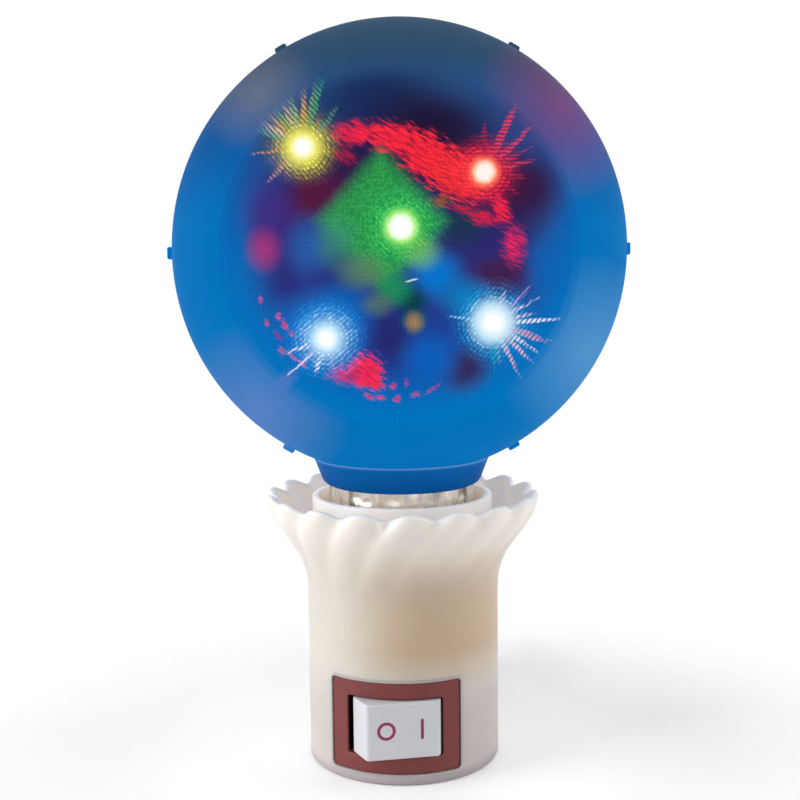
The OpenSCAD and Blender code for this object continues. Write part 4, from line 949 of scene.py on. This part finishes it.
def rod_rings(radius, along, axis, centre, sides=40):
    """Circles of the given radii at distances along an axis, round a centre line."""
    angle = bearings(sides)
    axis = Vector(axis)
    side = axis.orthogonal().normalized()
    other = np.array(axis.cross(side))
    spoke = np.cos(angle)[:, None] * np.array(side) + np.sin(angle)[:, None] * other
    return (np.asarray(radius)[:, None, None] * spoke[None]
            + np.asarray(along)[:, None, None] * np.array(axis) + np.array(centre))


def thread_radius(bearing, height, crest, s, low, top):
    """Radius of a round right-hand thread: it dips from the crest by the depth times a raised cosine of
    height / pitch less one for each turn. It runs out to the root below low and to the crest above top."""
    wave = (1 - np.cos(FULL_TURN * height / s.thread_pitch - bearing)) / 2
    ease = 1.6 * MM
    bottom = np.clip((low + ease - height) / ease, 0, 1)
    plain = np.clip((height - top) / ease, 0, 1)
    bottom, plain = (v * v * (3 - 2 * v) for v in (bottom, plain))
    return crest - s.thread_depth * (wave * (1 - bottom) + bottom) * (1 - plain)


# Stakes in the cap's plain band: bearing in degrees, depth, size and drop below the collar in millimetres
CAP_STAKES = [
    (-152, 0.22, 0.9, 1.1), (-121, 0.3, 0.8, 0.9), (-112, 0.26, 0.7, 1.5), (-90, 0.24, 1.0, 1.0), (-62, 0.14, 0.9, 1.2),
    (-31, 0.2, 0.8, 1.0), (4, 0.22, 0.9, 1.1), (38, 0.2, 0.8, 1.2), (71, 0.24, 0.9, 1.0), (104, 0.2, 0.8, 1.1),
    (140, 0.22, 0.9, 1.0), (171, 0.2, 0.8, 1.2)]


def screw_cap_rings(s):
    """Formed cap: the thread outside, the same sheet moved in by its thickness inside, and round stakes of uneven
    depth and spacing pressed into the plain band under the collar."""
    columns = 144
    bearing = bearings(columns)[None]
    up = np.linspace(CAP_LOW, CAP_TOP, 112)[:, None]
    down = up[::-2]
    thread_from, plain_from = CAP_LOW + 0.6 * MM, CAP_TOP - 7.2 * MM
    outside, inside = (
        thread_radius(bearing, rows, s.cap_radius, s, thread_from, plain_from) for rows in (up, down))
    for at, depth, size, drop in CAP_STAKES:
        off = np.angle(np.exp(1j * (bearing - math.radians(at)))) * s.cap_radius
        level = up - (CAP_TOP - drop * MM)
        outside = outside - depth * MM * np.exp(-(off / (size * MM)) ** 2 - (level / (size * MM)) ** 2)
    height = np.concatenate([up, down]) * np.ones((1, columns))
    return turned(np.concatenate([outside, inside - s.sheet_metal]), height, columns)


def socket_shell_rings(s):
    """Brass shell round the cap: its thread follows the same helix one gap further out, and it ends in the flange
    that is riveted to the holder's floor."""
    columns = 120
    bearing = bearings(columns)[None]
    plain = np.ones((1, columns))
    up = np.linspace(SOCKET_LOW + s.sheet_metal, SOCKET_TOP, 96)[:, None]
    down = up[::-2]
    thread_from, plain_from = SOCKET_LOW - 4 * MM, SOCKET_TOP - 4.5 * MM
    inside, outside = (
        thread_radius(bearing, rows, s.cap_radius + s.thread_gap, s, thread_from, plain_from) for rows in (up, down))
    outside = outside + s.sheet_metal
    flange = 9.5 * MM
    radius = np.concatenate([flange * plain, inside, outside, outside[-1:], flange * plain])
    height = np.concatenate([
        (SOCKET_LOW + s.sheet_metal) * plain, up * plain, down * plain, SOCKET_LOW * plain, SOCKET_LOW * plain])
    return turned(radius, height, columns)


def collar_rings(s):
    """Neck collar in section: rounded foot, slanted side, a small bead where it meets the globe, then down the
    globe's curve into the bore and back under the floor."""
    lean = math.degrees(math.atan2(s.collar_top - s.collar_low, s.collar_height - s.collar_round))
    seat, hole, bore, plug = CAP_TOP + 1.2 * MM, 9.5 * MM, 13.9 * MM, 12.7 * MM
    reach = s.globe_radius + 0.1 * MM
    top = GLOBE_Z - math.sqrt(reach ** 2 - s.collar_top ** 2)
    bead = 0.3 * MM
    follow = np.linspace(s.collar_top - bead, bore, 10)
    section = np.concatenate([
        arc((s.collar_low - s.collar_round, CAP_TOP + s.collar_round), s.collar_round, -90, -lean, 14),
        arc((s.collar_top - bead * 0.75, top - bead * 0.9), bead, -50, 100, 11),
        np.column_stack([follow, GLOBE_Z - np.sqrt(reach ** 2 - follow ** 2)]),
        [(bore, seat), (hole, seat), (hole, CAP_TOP), (plug - 1.5 * MM, CAP_TOP - 0.1 * MM),
         (plug - 1.5 * MM, CAP_TOP - 5 * MM), (plug, CAP_TOP - 5 * MM), (plug, CAP_TOP)]])
    return turned(section[:, 0], section[:, 1], 144)


def half_globe_rings(s, side):
    """Half shell about the lamp's line of sight, which is Y turned by the lamp's turn: latitude rings of the outer
    sphere from the pole to the bevelled seam, and back along the inner sphere. Side is -1 for the front and 1 for
    the rear."""
    inner = s.globe_radius - s.globe_wall
    latitude = np.radians(np.linspace(0.5, 90, 72))
    last = math.acos(s.seam_chamfer / s.globe_radius)
    out = np.minimum(latitude, last)
    away = np.concatenate([
        s.globe_radius * np.sin(out), [s.globe_radius - s.seam_chamfer], inner * np.sin(latitude[::-1])])
    along = np.concatenate([s.globe_radius * np.cos(out), [0], inner * np.cos(latitude[::-1])])
    axis = (-side * math.sin(s.home_turn), side * math.cos(s.home_turn), 0)
    return rod_rings(away, along, axis, (0, 0, GLOBE_Z), 180)


def snap_tabs(s, side):
    """Six snap lugs on the seam: rounded rectangles stacked along a radius and drawn in at the tip. The seam's plane
    holds Z and the level line that the lamp's turn gives."""
    wide, deep = 2.2 * MM, 1.5 * MM
    loop = rounded_loop(wide, deep, 0.3 * MM, 3, 3, 5)
    stack = [(-0.8, 0), (0.75, 0), (0.95, 0.04), (1.08, 0.13), (1.15, 0.27)]
    flat, upright = np.array([math.cos(s.home_turn), math.sin(s.home_turn), 0]), np.array([0, 0, 1])
    away = side * np.array([-math.sin(s.home_turn), math.cos(s.home_turn), 0])
    parts = []
    for angle in bearings(6):
        out, tangent = (math.cos(a) * flat + math.sin(a) * upright for a in (angle, angle + math.pi / 2))
        rings = [drawn_in(loop, inset * MM) for _, inset in stack]
        parts.append(skinned(np.stack([
            (s.globe_radius + rise * MM) * out + ring[:, :1] * tangent + (ring[:, 1:] + deep / 2) * away
            + GLOBE_Z * upright for ring, (rise, _) in zip(rings, stack)])))
    return parts


def plug_rings(s):
    """Flat-oval plug body and its face plate as slot shapes stacked along Y."""
    plate = PLUG_FACE - 2.5 * MM
    stack = [(PLUG_START, -0.8), (PLUG_START + 0.4 * MM, 0), (plate - 0.5 * MM, 0), (plate - 0.1 * MM, 0.15),
             (plate, 0.6), (plate, 3.2), (plate + 0.12 * MM, 3.75), (plate + 0.5 * MM, 4.0),
             (PLUG_FACE - 0.7 * MM, 4.0), (PLUG_FACE - 0.2 * MM, 3.7), (PLUG_FACE, 3.0)]
    rings = []
    for along, grow in stack:
        wide, high = s.plug_width + grow * MM, s.plug_height + grow / 2 * MM
        loop = rounded_loop(wide, high, high * 0.49, 16, 2, 16)
        rings.append(np.column_stack([loop[:, 0], np.full(len(loop), along), loop[:, 1] + PLUG_Z]))
    return np.stack(rings)


def pin_rings(s, side):
    """Mains pin: sleeve, a fine step, bare metal and a rounded tip."""
    face, step = PLUG_FACE - 0.05 * MM, PLUG_FACE + s.pin_sleeve
    tip = np.radians(np.linspace(0, 90, 8))
    nose = 1.2 * MM
    root, bare = s.pin_radius - 0.3 * MM, s.pin_radius - 0.06 * MM
    radius = [root, root, s.pin_radius, s.pin_radius, bare, *(bare - nose * (1 - np.cos(tip)))]
    along = [PIN_START, face, face, step, step, *(PIN_TIP - nose + nose * np.sin(tip))]
    return rod_rings(radius, along, (0, 1, 0), (side * s.pin_pitch / 2, 0, PLUG_Z), 48)


def holder_rings(s):
    """Holder tube in section: outer wall, rounded lip, inner wall and the floor that carries the socket."""
    outer, inner = s.holder_radius, s.holder_radius - s.holder_wall
    lip, bevel, hole = 0.35 * MM, 0.3 * MM, 3 * MM
    floor = HOLDER_LOW + 1.6 * MM
    section = np.concatenate([
        [(hole, HOLDER_LOW), (outer - bevel, HOLDER_LOW), (outer, HOLDER_LOW + bevel)],
        arc((outer - lip, HOLDER_TOP - lip), lip, 0, 90, 7), arc((inner + lip, HOLDER_TOP - lip), lip, 90, 180, 7),
        [(inner, floor), (hole, floor)]])
    return turned(section[:, 0], section[:, 1], 160)


def opening_bead_rings(s, centre_z):
    """Fine raised outline of the switch opening: a circle carried round the opening's loop on the sleeve's
    cylinder, in the plane of the cylinder's normal and the loop's own normal."""
    size, grown, face = 0.15 * MM, 0.2 * MM, s.sleeve_radius
    loop = rounded_loop(s.panel_width + grown, s.panel_height + grown, 0.9 * MM)
    away = -np.sqrt(face ** 2 - loop[:, 0] ** 2)
    path = np.column_stack([loop[:, 0], away, loop[:, 1] + centre_z])
    normal = np.column_stack([loop[:, 0], away, 0 * away]) / face
    along = np.roll(path, -1, 0) - np.roll(path, 1, 0)
    along /= np.linalg.norm(along, axis=1)[:, None]
    side = np.cross(along, normal)
    angle = bearings(10)[None, :, None]
    return path[:, None] + size * (np.cos(angle) * normal[:, None] + np.sin(angle) * side[:, None])


# Marks on the rocker's face: middles of the O and the I across it, how far both sit above its middle, and how proud
MARK_OFF_X, MARK_ON_X = -2.95 * MM, 3.3 * MM
MARK_RISE = 0.2 * MM
MARK_LIFT = 0.05 * MM


def ring_mark(s):
    """The O: a flat elliptical section carried round a circle on the rocker's face."""
    around = bearings(64)
    section = bearings(16)[:, None]
    reach = 1.35 * MM + s.mark_stroke / 2 * np.cos(section)
    lift = -ROCKER_FACE - MARK_LIFT * np.sin(section)
    return np.stack([MARK_OFF_X + reach * np.cos(around), lift + 0 * around, MARK_RISE + reach * np.sin(around)], -1)


def bar_mark(s):
    """The I: the same flat ellipse carried upwards, closing to round ends."""
    share = np.sin(np.radians(np.linspace(-88, 88, 15)))
    half, cap = 1.83 * MM, s.mark_stroke / 2
    up = np.sign(share) * np.where(np.abs(share) > 0, half - cap, 0) + cap * share
    wide = cap * np.sqrt(1 - share ** 2)
    around = bearings(20)[None]
    return np.stack([
        MARK_ON_X + wide[:, None] * np.cos(around), -ROCKER_FACE - MARK_LIFT * np.sin(around) + 0 * wide[:, None],
        MARK_RISE + up[:, None] + 0 * around], -1)


# Operators


def sizes_and_colours(context):
    """Sizes and colours of the scene's lamp."""
    return context.scene.night_lamp_sizes, context.scene.night_lamp_colours


class NIGHT_LAMP_OT_petal_sleeve(bpy.types.Operator):
    """Build the petal sleeve with its switch and plug openings"""

    bl_idname = "night_lamp.petal_sleeve"
    bl_label = "Petal sleeve"

    def execute(self, context):
        s, colours = sizes_and_colours(context)
        body = mesh_of("sleeve_blank", [skinned(petal_sleeve_rings(s), loop=True)])
        play = 0.2 * MM
        window = rounded_loop(s.panel_width, s.panel_height, PANEL_ROUND) + [0, PLUG_Z]
        slot = rounded_loop(s.plug_width + play, s.plug_height + play, s.plug_height / 2, 16, 2, 16) + [0, PLUG_Z]
        near, far = 4 * MM, s.sleeve_radius + 2 * MM
        holes = [mesh_of("switch_hole", [prism(window, -far, -near)]), mesh_of("plug_hole", [prism(slot, near, far)])]
        cream = cream_polypropylene(colours)
        place("petal_sleeve", cut(body, holes), "base", cream, ["sleeve"])
        place("opening_bead", [skinned(opening_bead_rings(s, PLUG_Z), loop=True)], "base", cream)
        dress(cream, "base_cap")
        return {"FINISHED"}


class NIGHT_LAMP_OT_lampholder(bpy.types.Operator):
    """Build the holder tube and the threaded socket shell inside it"""

    bl_idname = "night_lamp.lampholder"
    bl_label = "Lampholder"

    def execute(self, context):
        s, colours = sizes_and_colours(context)
        cream = bpy.data.materials["Cream polypropylene, moulded"]
        brass = pressed_brass(colours)
        place("holder_cup", [skinned(holder_rings(s))], "base", cream, ["holder_tube"])
        place("threaded_socket", [skinned(socket_shell_rings(s), loop=True)], "base", brass,
              ["socket_shell"], crease=50)
        dress(brass, "centre_contact", "terminal_common", "terminal_load", "contact_blade", "cap_contact")
        dress(zinc_steel(), "base_screws", "board_screws", "socket_rivets", "plunger_spring")
        return {"FINISHED"}


class NIGHT_LAMP_OT_rocker_switch(bpy.types.Operator):
    """Build the switch surround, the rocker and its two marks"""

    bl_idname = "night_lamp.rocker_switch"
    bl_label = "Rocker switch"

    def execute(self, context):
        s, colours = sizes_and_colours(context)
        white, ink = white_abs(colours), pad_printed_ink(colours)
        pivot = np.array([0, ROCKER_PIVOT_Y, PLUG_Z])
        place("curved_surround", [skinned(surround_rings(s, PLUG_Z), loop=True)], "base", red_brown_abs(colours),
              ["switch_surround"])
        stem, pin, bevelled = 1.9 * MM, 1.3 * MM, 1.1 * MM
        parts = [rocker_rings(s), rod_rings([stem] * 2, [0, 3 * MM], (0, 1, 0), (0, 0, 0))]
        parts += [rod_rings([pin, pin, bevelled], [4.6 * MM, 5.8 * MM, 6 * MM], (0, 0, side), (0, 0, 0))
                  for side in (-1, 1)]
        rocker = [skinned(swung(rings, s.rocker_tilt, pivot)) for rings in parts]
        place("rounded_rocker", rocker, "rocker", white, ["rocker"])
        off = swung(ring_mark(s), s.rocker_tilt, pivot)
        place("mark_off", [skinned(off, loop=True)], "rocker", ink)
        on = swung(bar_mark(s), s.rocker_tilt, pivot)
        place("mark_on", [skinned(on)], "rocker", ink)
        dress(white, "switch_plunger", "board_stand", "film_drum")
        dress(black_phenolic(), "switch_body", "cap_insulator", "bridge_rectifier")
        return {"FINISHED"}


class NIGHT_LAMP_OT_mains_plug(bpy.types.Operator):
    """Build the plug behind the sleeve and its two pins"""

    bl_idname = "night_lamp.mains_plug"
    bl_label = "Mains plug"

    def execute(self, context):
        s, colours = sizes_and_colours(context)
        cream = bpy.data.materials["Cream polypropylene, moulded"]
        place("oval_plug", [skinned(plug_rings(s))], "base", cream, ["plug_body"])
        pins = [skinned(pin_rings(s, side)) for side in (-1, 1)]
        place("sleeved_pins", pins, "base", mains_pin_metal(colours, s), ["plug_pins"])
        for hue, colour, wire in (("Blue", "#2A58B0", "neutral_wire"), ("Brown", "#6A4020", "live_wire"),
                                  ("Black", "#1A1A1A", "switched_wire")):
            dress(coloured_sleeve(f"{hue} PVC wire", colour, 0.5), wire)
        return {"FINISHED"}


class NIGHT_LAMP_OT_neck(bpy.types.Operator):
    """Build the threaded screw cap and the blue collar above it"""

    bl_idname = "night_lamp.neck"
    bl_label = "Screw cap and neck"

    def execute(self, context):
        s, colours = sizes_and_colours(context)
        place("threaded_cap", [skinned(screw_cap_rings(s), loop=True)], "lamp", nickel_plate(colours),
              ["screw_cap"], crease=60)
        place("blue_collar", [skinned(collar_rings(s), loop=True)], "lamp", neck_polystyrene(colours, s),
              ["neck_collar"])
        return {"FINISHED"}


class NIGHT_LAMP_OT_globe(bpy.types.Operator):
    """Build the two half shells of the globe with their snap lugs"""

    bl_idname = "night_lamp.globe"
    bl_label = "Globe"

    def execute(self, context):
        s, colours = sizes_and_colours(context)
        hole, depth = 12.4 * MM, 8 * MM
        for name, side, node in (("front_half_globe", -1, "globe_front_shell"),
                                 ("rear_half_globe", 1, "globe_rear_shell")):
            ball = mesh_of(name, [skinned(half_globe_rings(s, side)), *snap_tabs(s, side)])
            neck = mesh_of("neck_hole", [skinned(rod_rings(
                [hole] * 2, [CAP_TOP, CAP_TOP + depth], (0, 0, 1), (0, 0, 0), 96))])
            place(name, cut(ball, [neck]), "lamp", blue_polystyrene(colours, s, side < 0), [node])
        return {"FINISHED"}


class NIGHT_LAMP_OT_lights(bpy.types.Operator):
    """Finish the star film, the LEDs and the driver behind them"""

    bl_idname = "night_lamp.lights"
    bl_label = "Lights"

    def execute(self, context):
        dress(star_film_lit(context.scene.night_lamp_sizes), "star_film")
        for hue, glow, rim, *leds in (
                ("Yellow", "#FFF0A0", "#F0C020", "led_yellow"), ("Red", "#FFB0A0", "#F03020", "led_red"),
                ("Green", "#C0FFB0", "#30D030", "led_green"),
                ("White", "#D8F4FF", "#A0D8F0", "led_white_left", "led_white_right")):
            dress(lit_epoxy(hue, glow, rim), *leds)
        dress(solder_mask(), "led_board", "driver_board")
        dress(embossed_foil(), "reflector_foil")
        for name, colour, gloss, node in (
                ("Yellow dipped lacquer", "#D8A428", 0.3, "film_capacitor"),
                ("Navy shrink sleeve", "#1A2050", 0.3, "smoothing_capacitor"),
                ("Red PVC wire", "#A81C14", 0.5, "led_leads")):
            dress(coloured_sleeve(name, colour, gloss), node)
        return {"FINISHED"}


# Camera that the photograph's curves fit: focal length and picture width in pixels, place in millimetres, and turns
# about X, Y and Z in degrees
FOCAL_PIXELS, WIDE_PIXELS = 1225.25, 800
CAMERA_PLACE = (23.044, -219.251, 89.447)
CAMERA_TURN = (83.7487, 0.5980, 5.9803)
PAPER_RADIUS = 0.25


class NIGHT_LAMP_OT_stage(bpy.types.Operator):
    """Set the floor, the soft lights, the white background and the camera"""

    bl_idname = "night_lamp.stage"
    bl_label = "Stage"

    def execute(self, context):
        scene = context.scene
        mesh = mesh_of("paper", [skinned(rod_rings([PAPER_RADIUS] * 2, [-1 * MM, 0], (0, 0, 1), (0, 0, 0), 96))])
        mesh.materials.append(photo_floor())
        paper = bpy.data.objects.new("paper", mesh)
        scene.collection.objects.link(paper)

        aim = Vector((0, 0, 65 * MM))
        for name, spot, size, power in (
                ("key", (-0.68, -0.3, 0.32), 0.5, 4.5),
                ("fill", (0.68, 0.0, 0.3), 0.5, 1.8),
                ("back", (0.1, 0.6, 0.5), 0.6, 0.8)):
            lamp = bpy.data.lights.new(name, "AREA")
            lamp.shape, lamp.size, lamp.energy = "SQUARE", size, power
            holder = bpy.data.objects.new(name, lamp)
            holder.location = spot
            holder.rotation_euler = (aim - Vector(spot)).to_track_quat("-Z", "Y").to_euler()
            scene.collection.objects.link(holder)

        world = bpy.data.worlds.new("White studio")
        world.use_nodes = True
        scene.world = world
        tree = world.node_tree
        tree.nodes.clear()
        path = add(tree, "LightPath")
        seen = add(tree, "Math", {0: path.outputs["Is Camera Ray"], 1: path.outputs["Is Glossy Ray"]},
                   operation="MAXIMUM")
        seen = add(tree, "Math", {0: seen, 1: path.outputs["Is Transmission Ray"]}, operation="MAXIMUM")
        level = add(tree, "MapRange", {"Value": seen, "To Min": 0.46, "To Max": 1.0})
        sky = add(tree, "Background", {"Color": hex_colour("#FFFFFF"), "Strength": level})
        add(tree, "OutputWorld", {"Surface": sky})

        lens = bpy.data.cameras.new("photo_view")
        lens.sensor_width = 36.0
        lens.lens = lens.sensor_width * FOCAL_PIXELS / WIDE_PIXELS
        lens.clip_start = 10 * MM
        camera = bpy.data.objects.new("photo_view", lens)
        turned_to = Euler([math.radians(a) for a in CAMERA_TURN])
        camera.matrix_world = Matrix.LocRotScale(Vector(CAMERA_PLACE) * MM, turned_to, None)
        scene.collection.objects.link(camera)
        scene.camera = camera
        scene.view_settings.view_transform = "Standard"
        return {"FINISHED"}


class NIGHT_LAMP_PT_build(bpy.types.Panel):
    """Lists the steps that build the lamp, with its sizes and colours"""

    bl_idname = "NIGHT_LAMP_PT_build"
    bl_label = "Night lamp"
    bl_space_type = "VIEW_3D"
    bl_region_type = "UI"
    bl_category = "Night lamp"

    def draw(self, context):
        for step in OPERATORS:
            self.layout.operator(step.bl_idname)
        for group in sizes_and_colours(context):
            for name in group.__annotations__:
                self.layout.prop(group, name)


OPERATORS = (
    NIGHT_LAMP_OT_petal_sleeve, NIGHT_LAMP_OT_lampholder, NIGHT_LAMP_OT_rocker_switch, NIGHT_LAMP_OT_mains_plug,
    NIGHT_LAMP_OT_neck, NIGHT_LAMP_OT_globe, NIGHT_LAMP_OT_lights, NIGHT_LAMP_OT_stage)
CLASSES = (NightLampSizes, NightLampColours, *OPERATORS, NIGHT_LAMP_PT_build)


def register():
    for item in CLASSES:
        bpy.utils.register_class(item)
    bpy.types.Scene.night_lamp_sizes = bpy.props.PointerProperty(type=NightLampSizes)
    bpy.types.Scene.night_lamp_colours = bpy.props.PointerProperty(type=NightLampColours)


def unregister():
    del bpy.types.Scene.night_lamp_colours
    del bpy.types.Scene.night_lamp_sizes
    for item in reversed(CLASSES):
        bpy.utils.unregister_class(item)


def main():
    register()
    bpy.ops.night_lamp.petal_sleeve()
    bpy.ops.night_lamp.lampholder()
    bpy.ops.night_lamp.rocker_switch()
    bpy.ops.night_lamp.mains_plug()
    bpy.ops.night_lamp.neck()
    bpy.ops.night_lamp.globe()
    bpy.ops.night_lamp.lights()
    bpy.ops.night_lamp.stage()


if __name__ == "__main__":
    main()
